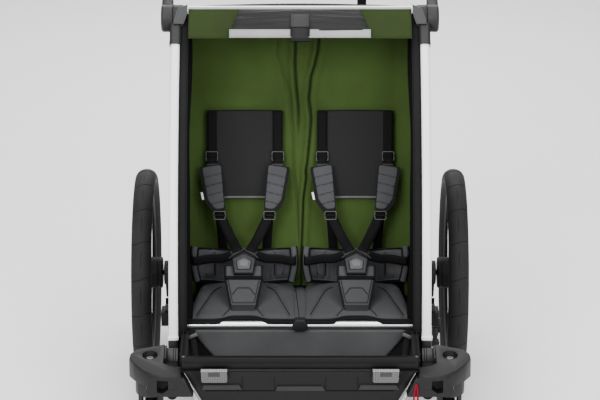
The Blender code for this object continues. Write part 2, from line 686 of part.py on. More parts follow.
def post_foot(side, carrier):
    """The moulded foot that turns on the fold pin and takes the post's lower end."""
    inner = PLATE_INNER + PLATE_THICKNESS + GAP
    outer = POST_PLANE + POST_WIDTH / 2 + 0.002
    groove = (inner + outer) / 2
    profile = [(EYE_RADIUS - 0.001, inner), (EYE_RADIUS, inner + 0.001), (EYE_RADIUS, groove - 0.0015),
               (EYE_RADIUS - 0.002, groove), (EYE_RADIUS, groove + 0.0015), (EYE_RADIUS, outer - 0.001),
               (EYE_RADIUS - 0.001, outer)]
    profile = [(radius, side * along) for radius, along in profile]
    made = place_mesh(side_name("post_foot", side), turned(profile, (0, *FOLD_PIVOT), "X", 18),
                      BLACK_PLASTIC, carrier)
    path = [(side * groove, *on_post(share)) for share in (0.012, 0.035, POST_START - POST_SEAT)]
    sleeve = sweep(path, box_section(outer - inner - 0.0004, POST_DEPTH + 0.004, 0.005), (1, 0, 0))
    join(made, sleeve)
    bore = turned([(PIN_RADIUS + GAP, side * (inner - 0.01)), (PIN_RADIUS + GAP, side * (outer + 0.01))],
                  (0, *FOLD_PIVOT), "X", 16)
    return cut(made, bore)


def corner_joint(side, carrier):
    """The joint at the hoop's shoulder, with the sleeve that takes the post's upper end."""
    profile = [(JOINT_RADIUS - 0.006, JOINT_INNER), (JOINT_RADIUS - 0.0015, JOINT_INNER + 0.002),
               (JOINT_RADIUS, JOINT_INNER + 0.005), (JOINT_RADIUS, JOINT_SPLIT - 0.0015),
               (JOINT_RADIUS - 0.001, JOINT_SPLIT)]
    profile = [(radius, side * along) for radius, along in profile]
    made = place_mesh(side_name("corner_joint", side), turned(profile, (0, *TOP_JOINT), "X", 20),
                      BLACK_PLASTIC, carrier)
    inner, outer = POST_PLANE - POST_WIDTH / 2 - 0.001, JOINT_SPLIT - 0.0004
    path = [(side * (inner + outer) / 2, *on_post(share)) for share in (POST_END + POST_SEAT, 0.95, 0.985)]
    sleeve = sweep(path, box_section(outer - inner, POST_DEPTH + 0.005, 0.005), (1, 0, 0))
    collar_path = [(side * POST_PLANE, *on_post(share)) for share in (POST_END + POST_SEAT, POST_END + 0.022)]
    collar = sweep(collar_path, box_section(POST_WIDTH + 0.0024, POST_DEPTH + 0.003, 0.0055), (1, 0, 0))
    return join(made, sleeve, collar)


def top_front_tube(carrier):
    reach = JOINT_INNER - GAP
    tube = turned([(TOP_TUBE_RADIUS, -reach), (TOP_TUBE_RADIUS, reach)], (0, *TOP_TUBE), "X", 16)
    return place_mesh("top_front_tube", tube, WHITE_PAINT, carrier)


def edge_binding(side, carrier):
    """The fabric edge along a post's inner side."""
    steps = 10
    low, high = 0.066, 0.925
    shares = [low + (high - low) * i / steps for i in range(steps + 1)]
    inner, outer = OPENING_HALF_WIDTH + GAP, POST_PLANE - POST_WIDTH / 2 - GAP
    path = [(side * (inner + outer) / 2, *on_post(share, 0.009)) for share in shares]
    section = box_section(outer - inner, 0.006, 0.0018, 1)
    return place_mesh(side_name("edge_binding", side), sweep(path, section, (1, 0, 0)), DARK_FABRIC, carrier)


def header_band(carrier):
    """The band of fabric across the opening's upper edge, a little slack in the middle."""
    def surface(out):
        def place(s, t):
            x = OPENING_HALF_WIDTH * (2 * s - 1)
            y = HEADER_BOTTOM[0] + (HEADER_TOP[0] - HEADER_BOTTOM[0]) * t
            z = HEADER_BOTTOM[1] + (HEADER_TOP[1] - HEADER_BOTTOM[1]) * t
            belly = 0.004 * math.sin(math.pi * t) * math.sin(math.pi * s) ** 0.5
            return Vector((x, y - 0.66 * (out + belly), z + 0.75 * (out + belly)))
        return place
    return place_mesh("header_band", sheet_solid(surface(SHEET), surface(0), 10, 4), GREEN_FABRIC, carrier)


def rolled_cover(carrier):
    """The weather cover rolled up and strapped over the header."""
    def surface(share_out):
        def place(s, t):
            half = COVER_HALF_BOTTOM + (COVER_HALF_TOP - COVER_HALF_BOTTOM) * t
            x = half * (2 * s - 1)
            y = HEADER_BOTTOM[0] + (HEADER_TOP[0] - HEADER_BOTTOM[0]) * t
            z = HEADER_BOTTOM[1] + (HEADER_TOP[1] - HEADER_BOTTOM[1]) * t
            roll = math.sin(math.pi * (0.08 + 0.84 * t)) ** 0.6 * min(1.0, 9 * s + 0.25, 9 * (1 - s) + 0.25)
            wrinkle = 1 + 0.12 * math.sin(31 * s + 5 * t) + 0.10 * math.sin(17 * s - 9 * t)
            waist = 1 - 0.35 * bump(x, 0.016)
            out = 0.0078 + share_out * COVER_THICKNESS * roll * wrinkle * waist
            return Vector((x, y - 0.66 * out, z + 0.75 * out))
        return place
    return place_mesh("rolled_cover", sheet_solid(surface(1), surface(0), 18, 6), GREY_FABRIC, carrier)


def roof_panel(carrier):
    """The fabric roof between the hoops, gently crowned."""
    def surface(out):
        def place(s, t):
            x = (CABIN_HALF_WIDTH - 0.001) * (2 * s - 1)
            front_y = TOP_TUBE[0] + 0.8 * (TOP_TUBE_RADIUS + GAP)
            front_z = TOP_TUBE[1] + 0.6 * (TOP_TUBE_RADIUS + GAP)
            y = front_y + (ROOF_REAR[0] - front_y) * t
            z = front_z + (ROOF_REAR[1] - front_z) * t
            crown = 0.006 * math.sin(math.pi * s) * math.sin(math.pi * t)
            return Vector((x, y, z + crown + out))
        return place
    return place_mesh("roof_panel", sheet_solid(surface(SHEET), surface(0), 10, 5), DARK_FABRIC, carrier)


# Cabin fabric


def fold_depth(x, z):
    """How far the gathered fabric stands forward of the seat backs' plane."""
    rise = (z - BACK_FOOT[1]) / (JOINT_HEIGHT - 0.040 - BACK_FOOT[1])
    left = -0.006 - 0.012 * rise ** 2
    right = 0.004 + 0.036 * rise
    ridges = bump(x - left, 0.007) + bump(x - right, 0.009) + 0.7 * bump(x - right - 0.022, 0.010)
    valley = bump(x - (left + right) / 2, 0.006)
    swell = bump(abs(x) - SEAT_CENTRE, 0.09)
    return 0.0085 * ridges * (0.35 + 0.65 * rise) - 0.003 * valley + 0.004 * swell - 0.004 * rise


def cabin_shell():
    """Side walls, seat back, seat sling and rear panel, as one sewn shell that is open in front."""
    wall_front = [on_post(0.115 + 0.80 * i / 10, 0.0045) for i in range(11)]
    roof_line = (ROOF_REAR[0] - 0.004, ROOF_REAR[1] - 0.004)
    outline = wall_front + [(TOP_TUBE[0] + TOP_TUBE_RADIUS + 0.004, TOP_TUBE[1] - 0.006), roof_line]
    sling_front, sling_rear = SEAT_TUBE[0] + 0.019, BACK_FOOT[0] + 0.014
    outline += [(CABIN_REAR, BOOT_FLOOR), (sling_rear + 0.022, BOOT_FLOOR), (sling_rear, SLING_TOP - SHEET),
                (sling_front, SLING_TOP - SHEET), (sling_front, wall_front[0][1])]
    made = place_mesh("cabin_shell", prism(outline, -CABIN_HALF_WIDTH, CABIN_HALF_WIDTH), GREEN_FABRIC)
    inner = CABIN_HALF_WIDTH - CABIN_WALL
    top = JOINT_HEIGHT + 0.080

    def back_face(s, t):
        x = inner * (2 * s - 1)
        z = SLING_TOP + (top - SLING_TOP) * t
        return Vector((x, back_line(z) - (fold_depth(x, z) if 0 < t else 0), z))

    def far_face(s, t):
        return Vector((inner * (2 * s - 1), TRAY_FRONT, SLING_TOP + (top - SLING_TOP) * t))

    cabin_room = sheet_solid(far_face, back_face, 28, 9)
    rear_slope = (REAR_TOP[0] - REAR_PIVOT[0]) / (REAR_TOP[1] - REAR_PIVOT[1])

    def rear_line(z):
        return REAR_PIVOT[0] + (z - REAR_PIVOT[1]) * rear_slope + REAR_RADIUS + 0.003

    low, high = BOOT_FLOOR + SHEET, REAR_TOP[1] + REAR_RADIUS + 0.004
    outline = [(back_line(z) + BACK_WALL, z) for z in (low, high)] + [(rear_line(z), z) for z in (high, low)]
    boot_room = prism(outline, -inner, inner)
    mouth_top = high - 2 * SHEET
    mouth = [(REAR_TOP[0], BOOT_MOUTH), (CABIN_REAR, BOOT_MOUTH), (CABIN_REAR, mouth_top),
             (REAR_TOP[0], mouth_top)]
    boot_mouth = prism(mouth, BOOT_MOUTH_EDGE - inner, inner - BOOT_MOUTH_EDGE)
    leg_end = rear_line(BOOT_FLOOR)
    leg_start = leg_end - LEG_ROOM
    leg_foot, leg_top = BOOT_FLOOR - 0.072, low + SHEET
    leg_room = [(leg_start, leg_foot), (leg_end, leg_foot), (leg_end, leg_top), (leg_start, leg_top)]
    leg_rooms = [prism(leg_room, side * (REAR_PLANE - LEG_ROOM / 2), side * inner) for side in (-1, 1)]
    return cut(made, cabin_room, boot_room, boot_mouth, *leg_rooms)


def back_seat(side):
    """How far a seat back stands forward of the back line, so that it just clears the folds."""
    middle = (MESH_LOW + MESH_HIGH) / 2
    depths = [fold_depth(side * SEAT_CENTRE + offset * MESH_HALF_TOP, z)
              for offset in (-1, -0.5, 0, 0.5, 1) for z in (MESH_LOW, middle, MESH_HIGH)]
    return max(depths) + 2 * GAP


def seat_back(side):
    """The mesh panel behind a child's back, piped at its lower edge."""
    rear = back_seat(side)

    def surface(out):
        def place(s, t):
            z = MESH_LOW + (MESH_HIGH - MESH_LOW) * t
            half = MESH_HALF_BOTTOM + (MESH_HALF_TOP - MESH_HALF_BOTTOM) * t
            x = side * SEAT_CENTRE + half * (2 * s - 1)
            hollow = 0.5 * out * math.sin(math.pi * s)
            return Vector((x, back_line(z) - rear - out + hollow, z))
        return place
    panel = sheet_solid(surface(MESH_THICKNESS), surface(0), 6, 4)
    return place_mesh(side_name("seat_back", side), panel, DARK_FABRIC)


def seat_pad(side):
    """A seat cushion: crowned, with two slanting seams and a scoop in the middle of its front."""
    bottom = SLING_TOP + GAP

    def place(s, t, height):
        half = SEAT_HALF_FRONT + (SEAT_HALF_REAR - SEAT_HALF_FRONT) * t
        offset = half * (2 * s - 1)
        scoop = 0.014 * (1 - t) ** 6 / (1 + (offset / 0.045) ** 6)
        y = SEAT_FRONT + scoop + (SEAT_REAR - SEAT_FRONT) * t
        return Vector((side * SEAT_CENTRE + offset, y, height))

    def top(s, t):
        edge = min(1.0, (1 - abs(2 * s - 1)) * 7 + 0.25) ** 0.5
        edge *= min(1.0, 8 * t + 0.3, 8 * (1 - t) + 0.2) ** 0.5
        seam_place = 0.105 - 0.075 * t ** 1.5
        seam = bump(abs(place(s, t, 0).x - side * SEAT_CENTRE) - seam_place, 0.007) * min(1.0, 5 * (1 - t))
        dish = 0.001 * bump(2 * s - 1, 0.6)
        return place(s, t, bottom + (SEAT_TOP - bottom) * edge - 0.004 * seam * edge - dish * edge)

    def under(s, t):
        return place(0.5 + (s - 0.5) * 0.97, t, bottom)

    return place_mesh(side_name("seat_pad", side), sheet_solid(top, under, 16, 8), GREY_FABRIC)


def hip_line(offset):
    """Y of a hip pad's front face, which curls forward at its ends."""
    return HIP_FRONT - HIP_CURL * (abs(offset) / HIP_HALF) ** 3.5


def hip_pad(side):
    """The padded wing round a child's hips, with sewn channels."""
    low, high = SEAT_TOP - 0.0028, HIP_TOP

    def surface(front):
        def place(s, t):
            offset = HIP_HALF * (2 * s - 1)
            flare = 1 - 0.10 * (1 - t) * abs(2 * s - 1) ** 2
            z = low + (high - low) * t + 0.010 * (1 - t) * abs(2 * s - 1) ** 3
            thick = 0.006 + 0.011 * math.sin(math.pi * (0.1 + 0.8 * t)) ** 0.7
            thick *= min(1.0, 6 * s + 0.45, 6 * (1 - s) + 0.45)
            channel = 0.25 * max(0.0, math.cos(offset * 2 * math.pi / 0.0195)) ** 6
            y = hip_line(offset) + (0.0 if front else thick) + (channel * thick if front else 0)
            return Vector((side * SEAT_CENTRE + offset * flare, y, z))
        return place
    wing = sheet_solid(surface(True), surface(False), 20, 5)
    return place_mesh(side_name("hip_pad", side), wing, GREY_FABRIC)


def on_crotch(side, x, up, out):
    """A place on a crotch pad's slanting front, up from its foot and out from its face."""
    slope = Vector((0, CROTCH_HEAD[0] - CROTCH_FOOT[0], CROTCH_HEAD[1] - CROTCH_FOOT[1])).normalized()
    outward = Vector((0, -slope.z, slope.y))
    return Vector((side * SEAT_CENTRE + x, *CROTCH_FOOT)) + slope * up + outward * out


def crotch_length():
    return (Vector(CROTCH_HEAD) - Vector(CROTCH_FOOT)).length


def crotch_pad(side):
    """The pad under a buckle, narrower at its foot, with a sewn arch."""
    length = crotch_length()

    def surface(front):
        def place(s, t):
            half = CROTCH_HALF_FOOT + (CROTCH_HALF_HEAD - CROTCH_HALF_FOOT) * min(1.0, t / 0.7)
            x = half * (2 * s - 1)
            up = length * t
            crown = 0.0016 * math.sin(math.pi * s) ** 0.5
            band = 0.0022 * bump(t - 0.70, 0.035)
            reach = 0.030 * max(0.0, 1 - (x / 0.021) ** 2) ** 0.5
            arch = 0.0010 * bump(up - 0.018 - reach, 0.004) if abs(x) < 0.021 else 0.0
            return on_crotch(side, x, up, (crown - band - arch) if front else -CROTCH_THICKNESS + crown)
        return place
    return place_mesh(side_name("crotch_pad", side), sheet_solid(surface(True), surface(False), 10, 11),
                      GREY_FABRIC)


def pentagon(half, height, shoulder, foot_half):
    """A house-shaped outline: a point on top, shoulders below it and a narrower foot."""
    level = height * shoulder
    return [(-foot_half, 0), (foot_half, 0), (half, level), (0, height), (-half, level)]


def buckle_base():
    return crotch_length() * 0.735


def buckle_outline(grow=1.0):
    """The buckle's outline in the crotch pad's plane, grown about its middle."""
    middle = Vector((0, BUCKLE_HEIGHT / 2))
    outline = pentagon(BUCKLE_HALF_WIDTH, BUCKLE_HEIGHT, 0.70, BUCKLE_HALF_WIDTH * 0.80)
    return [middle + (Vector(point) - middle) * grow for point in outline]


def buckle(side):
    """The harness buckle, with a recess for its button."""
    low, high = BUCKLE_LOW, BUCKLE_LOW + BUCKLE_THICKNESS
    rings = []
    for out, share in ((low, 1.0), (high - 0.003, 1.0), (high, 0.88)):
        rings.append([on_crotch(side, x, buckle_base() + up, out) for x, up in buckle_outline(share)])
    made = place_mesh(side_name("buckle", side), skin(rings), GREY_PLASTIC)
    recess = [[on_crotch(side, x, buckle_base() + up, out) for x, up in button_outline(GAP)]
              for out in (high - 0.0065, high + 0.01)]
    return cut(made, skin(recess))


def button_outline(grow):
    """The button's outline in the buckle's own plane, grown all round."""
    return [(x + math.copysign(grow, x) if x else x, up + BUTTON_RISE + (grow if up > 0.005 else -grow))
            for x, up in pentagon(BUTTON_HALF, BUTTON_HEIGHT, 0.68, 0.82353 * BUTTON_HALF)]


def buckle_button(side, carrier):
    face = BUCKLE_LOW + BUCKLE_THICKNESS
    low, high = face - 0.0028, face + 0.0014
    rings = [[on_crotch(side, x, buckle_base() + up, out) for x, up in button_outline(0)]
             for out in (low, high)]
    return place_mesh(side_name("buckle_button", side), skin(rings), GREY_PLASTIC, carrier)


def ribbon(points, width, thickness, side=(1, 0, 0)):
    return sweep(points, flat_section(width, thickness), side)


def harness_strand(side, hand):
    """Centre points of a shoulder strap, from the seat back's top to the buckle."""
    centre = side * SEAT_CENTRE
    on_back = back_seat(side) + MESH_THICKNESS + GAP + WEBBING_THICKNESS / 2
    offsets = [(x, up, on_back) for x, up in STRAND_TOP] + list(STRAND)
    path = [Vector((centre + hand * x, back_line(SLING_TOP + up) - out, SLING_TOP + up))
            for x, up, out in offsets]
    path.append(on_crotch(side, hand * 0.0185, buckle_base() + BUCKLE_HEIGHT + 0.002, 0.0085))
    return path


def shoulder_pad(path):
    """A padded sleeve on a strap, crowned and narrowed at both ends."""
    rings = []
    steps = 8
    for i in range(steps + 1):
        share = i / steps
        upper = share < 0.5
        place = path[0].lerp(path[1], share * 2) if upper else path[1].lerp(path[2], share * 2 - 1)
        ahead = (path[2] - path[0]).normalized()
        across = (Vector((1, 0, 0)) - ahead * ahead.x).normalized()
        up = ahead.cross(across)
        swell = 0.72 + 0.28 * math.sin(math.pi * share) ** 0.5
        seam = 1 - 0.18 * (i % 2)
        section = box_section(SHOULDER_PAD_WIDTH * swell, SHOULDER_PAD_THICKNESS * swell * seam, 0.0038, 1)
        rings.append([place + across * a + up * b for a, b in section])
    return skin(rings)


def buckle_tongue(side):
    """The metal chevron that joins the straps along the buckle's upper edges."""
    top, shoulder = BUCKLE_HEIGHT + 0.0012, BUCKLE_HEIGHT * 0.70 - 0.0014
    reach, depth = BUCKLE_HALF_WIDTH + 0.0045, 0.0135
    outline = [(0, top), (reach, shoulder), (reach, shoulder + depth), (0, top + depth),
               (-reach, shoulder + depth), (-reach, shoulder)]
    return skin([[on_crotch(side, x, buckle_base() + up, out) for x, up in outline]
                 for out in (0.0060, 0.0105)])


def harness(side):
    """Shoulder straps with their pads, the lower straps and the lap belts of one seat."""
    centre = side * SEAT_CENTRE
    shapes = []
    for hand in (-1, 1):
        path = harness_strand(side, hand)
        shapes.append(ribbon(path, WEBBING_WIDTH, WEBBING_THICKNESS))
        shapes.append(shoulder_pad([path[3] + Vector((0, -0.002, 0.010)), path[4], path[5]]))
        lower = [Vector((centre + hand * x, back_line(SLING_TOP + up) - out, SLING_TOP + up))
                 for x, up, out in LOWER_STRAND]
        shapes.append(ribbon(lower, WEBBING_WIDTH * 0.85, WEBBING_THICKNESS))
        belt = [Vector((centre + hand * x, hip_line(x) - out, SLING_TOP + up)) for x, up, out in BELT]
        belt.append(on_crotch(side, hand * 0.0312, buckle_base() + BUCKLE_HEIGHT * 0.80, 0.0080))
        shapes.append(ribbon(belt, WEBBING_WIDTH, WEBBING_THICKNESS, (0, 0.3, 1)))
    shapes.append(buckle_tongue(side))
    made = place_mesh(side_name("harness", side), shapes[0], WEBBING)
    join(made, *shapes[1:])
    room = [[on_crotch(side, x, buckle_base() + up, out) for x, up in buckle_outline(1.03)]
            for out in (-0.006, 0.030)]
    return cut(made, skin(room))


# Rear hoop and handlebar


def rear_hoop(carrier):
    """The bent tube that stretches the cabin's back, on two eyes."""
    corners = [(-REAR_PLANE, *REAR_PIVOT), (-REAR_PLANE, *REAR_TOP), (REAR_PLANE, *REAR_TOP),
               (REAR_PLANE, *REAR_PIVOT)]
    tube = sweep(rounded_path(corners, 0.060), circle_section(REAR_RADIUS, 10), (0, 1, 0))
    made = place_mesh("rear_hoop", tube, BLACK_PAINT, carrier)
    bores = []
    for side in (-1, 1):
        inner, outer = REAR_PLANE - REAR_RADIUS + 0.0005, REAR_PLANE + REAR_RADIUS + 0.0006
        join(made, turned([(REAR_EYE_RADIUS, side * inner), (REAR_EYE_RADIUS, side * outer)],
                          (0, *REAR_PIVOT), "X", 20))
        bore = [(PIN_RADIUS + GAP, side * (inner - 0.01)), (PIN_RADIUS + GAP, side * (outer + 0.01))]
        bores.append(turned(bore, (0, *REAR_PIVOT), "X", 16))
    return cut(made, *bores)


def handle_direction():
    return (Vector((0, *HANDLE_TOP)) - Vector((0, *TOP_JOINT))).normalized()


def handle_plane():
    return (JOINT_SPLIT + GAP + JOINT_OUTER) / 2


def handle_knuckle(side, carrier):
    """The outer half of a shoulder joint, with the socket that takes the handlebar."""
    inner = JOINT_SPLIT + GAP
    profile = [(JOINT_RADIUS - 0.001, inner), (JOINT_RADIUS, inner + 0.0015),
               (JOINT_RADIUS, JOINT_OUTER - 0.004), (JOINT_RADIUS - 0.004, JOINT_OUTER),
               (JOINT_RADIUS - 0.012, JOINT_OUTER), (JOINT_RADIUS - 0.013, JOINT_OUTER - 0.0015)]
    profile = [(radius, side * along) for radius, along in profile]
    made = place_mesh(side_name("handle_knuckle", side), turned(profile, (0, *TOP_JOINT), "X", 20),
                      BLACK_PLASTIC, carrier)
    start = Vector((side * handle_plane(), *TOP_JOINT))
    ahead = handle_direction()
    half = (JOINT_OUTER - inner) / 2 - 0.0002
    path = [start + ahead * 0.010, start + ahead * SOCKET_LENGTH]
    join(made, sweep(path, box_section(2 * half, 2 * SOCKET_RADIUS + 0.004, 0.009), (1, 0, 0)))
    path = [start + ahead * (SOCKET_LENGTH - SOCKET_DEPTH), start + ahead * (SOCKET_LENGTH + 0.01)]
    return cut(made, sweep(path, circle_section(HANDLE_RADIUS + GAP, 16), (1, 0, 0)))


def handlebar_tube(carrier):
    """The U-shaped push bar."""
    plane = handle_plane()
    low = Vector((0, *TOP_JOINT)) + handle_direction() * (SOCKET_LENGTH - SOCKET_DEPTH + GAP)
    corners = [(-plane, low.y, low.z), (-plane, *HANDLE_TOP), (plane, *HANDLE_TOP), (plane, low.y, low.z)]
    tube = sweep(rounded_path(corners, HANDLE_BEND, 6), circle_section(HANDLE_RADIUS, 12), (0, 1, 0))
    return place_mesh("handlebar_tube", tube, BLACK_PAINT, carrier)


def handlebar_grip(carrier):
    inner = HANDLE_RADIUS + GAP
    ends = GRIP_HALF_LENGTH
    profile = [(inner, -ends), (inner, ends), (GRIP_RADIUS - 0.0015, ends), (GRIP_RADIUS, ends - 0.002),
               (GRIP_RADIUS, -ends + 0.002), (GRIP_RADIUS - 0.0015, -ends)]
    return place_mesh("handlebar_grip", turned(profile, (0, *HANDLE_TOP), "X", 20, True), FOAM, carrier)


def wrist_strap(carrier):
    """The loop of webbing that hangs from the push bar."""
    radius = GRIP_RADIUS + GAP + STRAP_THICKNESS / 2
    outline = arc(HANDLE_TOP, radius, -25, 205, 10)
    low = HANDLE_TOP[1] - STRAP_DROP
    outline += [(HANDLE_TOP[0] - 0.006, low + 0.13), (HANDLE_TOP[0] - 0.004, low + 0.008)]
    outline += arc((HANDLE_TOP[0], low + 0.005), 0.004, 200, 340, 3)
    outline += [(HANDLE_TOP[0] + 0.004, low + 0.008), (HANDLE_TOP[0] + 0.006, low + 0.13)]
    path = [(STRAP_PLACE, y, z) for y, z in outline]
    loop = sweep(path, flat_section(STRAP_WIDTH, STRAP_THICKNESS), (1, 0, 0), True)
    return place_mesh("wrist_strap", loop, WEBBING, carrier)


# Wheels


def tyre(side, carrier):
    """A tyre with a rounded tread, square shoulders and narrower beads."""
    bead = WHEEL_RADIUS - TYRE_HEIGHT
    half = TYRE_WIDTH / 2
    profile = [(bead, -0.013), (bead, 0.013), (bead + 0.016, half - 0.001), (WHEEL_RADIUS - 0.014, half),
               (WHEEL_RADIUS - 0.005, half - 0.009), (WHEEL_RADIUS, 0.006), (WHEEL_RADIUS, -0.006),
               (WHEEL_RADIUS - 0.005, -half + 0.009), (WHEEL_RADIUS - 0.014, -half),
               (bead + 0.016, -half + 0.001)]
    shape = turned(profile, (side * WHEEL_PLANE, *AXLE), "X", WHEEL_STEPS, True)
    return place_mesh(side_name("tyre", side), shape, TYRE_RUBBER, carrier)


def spokes(side):
    """All the spokes of a wheel: half lean forward from the inner flange, half back from the outer one."""
    bm = bmesh.new()
    rim_radius = WHEEL_RADIUS - TYRE_HEIGHT - RIM_HEIGHT + 0.003
    for i in range(SPOKE_COUNT):
        inward = i % 2
        angle = 2 * math.pi * i / SPOKE_COUNT
        hub_angle = angle + (SPOKE_LEAN if inward else -SPOKE_LEAN)
        hub_radius = DRUM_RADIUS - 0.005 if inward else FLANGE_RADIUS - 0.004
        hub_x = WHEEL_PLANE + (-0.0115 if inward else 0.0150)
        rim_x = WHEEL_PLANE + (-0.003 if inward else 0.003)
        ends = []
        for radius, turn, x in ((hub_radius, hub_angle, hub_x), (rim_radius, angle, rim_x)):
            ends.append(Vector((side * x, radius * math.cos(turn), AXLE[1] + radius * math.sin(turn))))
        rod = sweep(ends, circle_section(SPOKE_RADIUS, 4), (1, 0, 0))
        mesh = bpy.data.meshes.new("spoke")
        bmesh.ops.recalc_face_normals(rod, faces=rod.faces)
        rod.to_mesh(mesh)
        rod.free()
        bm.from_mesh(mesh)
        bpy.data.meshes.remove(mesh)
    return bm


def spoked_wheel(side, carrier):
    """Rim, spokes, brake drum and hub, with the axle stub that the receiver takes."""
    outer_radius = WHEEL_RADIUS - TYRE_HEIGHT - GAP
    inner_radius = outer_radius - RIM_HEIGHT
    half = RIM_WIDTH / 2
    profile = [(outer_radius, -half), (outer_radius, half), (outer_radius - 0.005, half),
               (inner_radius, 0.006), (inner_radius, -0.006), (outer_radius - 0.005, -half)]
    rim = turned(profile, (side * WHEEL_PLANE, *AXLE), "X", WHEEL_STEPS, True)
    made = place_mesh(side_name("spoked_wheel", side), rim, BLACK_PAINT, carrier)
    drum_start = WHEEL_PLANE - HUB_REACH - DRUM_REACH
    hub_end = WHEEL_PLANE + HUB_REACH
    button_floor = hub_end - BUTTON_SEAT - BUTTON_TRAVEL - GAP
    profile = [(AXLE_RADIUS, drum_start - AXLE_LENGTH), (AXLE_RADIUS, drum_start),
               (DRUM_RADIUS - 0.002, drum_start), (DRUM_RADIUS, drum_start + 0.002),
               (DRUM_RADIUS, drum_start + DRUM_WIDTH - 0.002), (DRUM_RADIUS - 0.003, drum_start + DRUM_WIDTH),
               (HUB_RADIUS, drum_start + DRUM_WIDTH + 0.003), (HUB_RADIUS, WHEEL_PLANE + 0.012),
               (FLANGE_RADIUS, WHEEL_PLANE + 0.0135), (FLANGE_RADIUS, WHEEL_PLANE + 0.0165),
               (HUB_RADIUS, WHEEL_PLANE + 0.018), (HUB_RADIUS - 0.002, hub_end),
               (BUTTON_RADIUS + GAP, hub_end), (BUTTON_RADIUS + GAP, button_floor)]
    profile = [(radius, side * along) for radius, along in profile]
    hub = turned(profile, (0, *AXLE), "X", 18)
    return join(made, spokes(side), hub)


def release_button(side, carrier):
    """The push button that lets a wheel off its receiver."""
    start = WHEEL_PLANE + HUB_REACH - BUTTON_SEAT
    end = WHEEL_PLANE + HUB_REACH + BUTTON_RAISE
    profile = [(BUTTON_RADIUS, side * start), (BUTTON_RADIUS, side * (end - 0.0015)),
               (BUTTON_RADIUS - 0.0015, side * end)]
    return place_mesh(side_name("release_button", side), turned(profile, (0, *AXLE), "X", 20),
                      GREY_PLASTIC, carrier)


def caster_axle():
    return SWIVEL[1] + CASTER_TRAIL, CASTER_RADIUS


def caster_fork(side, carrier):
    """The swivelling crown with its stem, two arms and the wheel's axle."""
    centre = (side * SWIVEL[0], SWIVEL[1], 0)
    top = POD_BOTTOM - GAP
    profile = [(CROWN_RADIUS - 0.003, CROWN_BOTTOM), (CROWN_RADIUS, CROWN_BOTTOM + 0.004),
               (CROWN_RADIUS, top - 0.004), (CROWN_RADIUS - 0.003, top), (STEM_RADIUS, top),
               (STEM_RADIUS, STEM_TOP)]
    crown = turned(profile, centre, "Z", 20)
    made = place_mesh(side_name("caster_fork", side), crown, BLACK_PLASTIC, carrier)
    axle = caster_axle()
    outline = [(SWIVEL[1] - 0.022, CROWN_BOTTOM + 0.008), (SWIVEL[1] - 0.021, CROWN_BOTTOM - 0.012)]
    outline += [(axle[0] - 0.017, axle[1] + 0.022)]
    outline += arc(axle, 0.013, 190, 365, 8)
    outline += [(axle[0] + 0.008, axle[1] + 0.050), (SWIVEL[1] + 0.022, CROWN_BOTTOM + 0.008)]
    for hand in (-1, 1):
        near = side * SWIVEL[0] + hand * FORK_INNER
        far = side * SWIVEL[0] + hand * (FORK_INNER + FORK_ARM)
        join(made, prism(outline, near, far))
    reach = FORK_INNER + 0.002
    low, high = side * SWIVEL[0] - reach, side * SWIVEL[0] + reach
    return join(made, turned([(CASTER_AXLE_RADIUS, low), (CASTER_AXLE_RADIUS, high)], (0, *axle), "X", 12))


def caster_core(side, carrier):
    """The moulded caster wheel centre, dished on both faces."""
    bore, half = CASTER_AXLE_RADIUS + GAP, FORK_INNER - RUNNING_GAP
    rim = CASTER_RADIUS - 0.020 - GAP
    profile = [(bore, -half), (bore, half), (0.013, half), (0.014, 0.007), (rim - 0.006, 0.004),
               (rim - 0.004, 0.011), (rim, 0.011), (rim, -0.011), (rim - 0.004, -0.011),
               (rim - 0.006, -0.004), (0.014, -0.007), (0.013, -half)]
    shape = turned(profile, (side * SWIVEL[0], *caster_axle()), "X", CASTER_STEPS, True)
    return place_mesh(side_name("caster_core", side), shape, GREY_PLASTIC, carrier)


def caster_tyre(side, carrier):
    inner, half = CASTER_RADIUS - 0.020, CASTER_WIDTH / 2
    profile = [(inner, -0.0115), (inner, 0.0115), (CASTER_RADIUS - 0.008, half),
               (CASTER_RADIUS, half - 0.007), (CASTER_RADIUS, -half + 0.007), (CASTER_RADIUS - 0.008, -half)]
    shape = turned(profile, (side * SWIVEL[0], *caster_axle()), "X", CASTER_STEPS, True)
    return place_mesh(side_name("caster_tyre", side), shape, TYRE_RUBBER, carrier)


def build_chassis():
    axle_beam()
    rear_cross_tube()
    seat_front_tube()
    front_cross_member()
    footwell_tray()
    pull_loop()
    brake_lever(empty("brake_pivot", (0, *BRAKE_PIVOT), ROOT))
    for side in (-1, 1):
        side_rail(side)
        reflector(side)
        pod(side)
        axle_receiver(side)


def build_hoops():
    fold = empty("fold_pivot", (0, *FOLD_PIVOT), ROOT)
    for side in (-1, 1):
        front_post(side, fold)
        post_foot(side, fold)
        corner_joint(side, fold)
        edge_binding(side, fold)
    top_front_tube(fold)
    header_band(fold)
    rolled_cover(fold)
    roof_panel(fold)
    rear_hoop(empty("rear_pivot", (0, *REAR_PIVOT), ROOT))
    handle = empty("handle_pivot", (0, *TOP_JOINT), fold)
    for side in (-1, 1):
        handle_knuckle(side, handle)
    handlebar_tube(handle)
    handlebar_grip(handle)
    wrist_strap(handle)


def build_cabin():
    cabin_shell()
    for side in (-1, 1):
        seat_back(side)
        seat_pad(side)
        hip_pad(side)
        crotch_pad(side)
        buckle(side)
        place = on_crotch(side, 0, buckle_base() + BUCKLE_HEIGHT / 2, BUCKLE_THICKNESS)
        buckle_button(side, empty(side_name("button_seat", side), place, ROOT))
        harness(side)


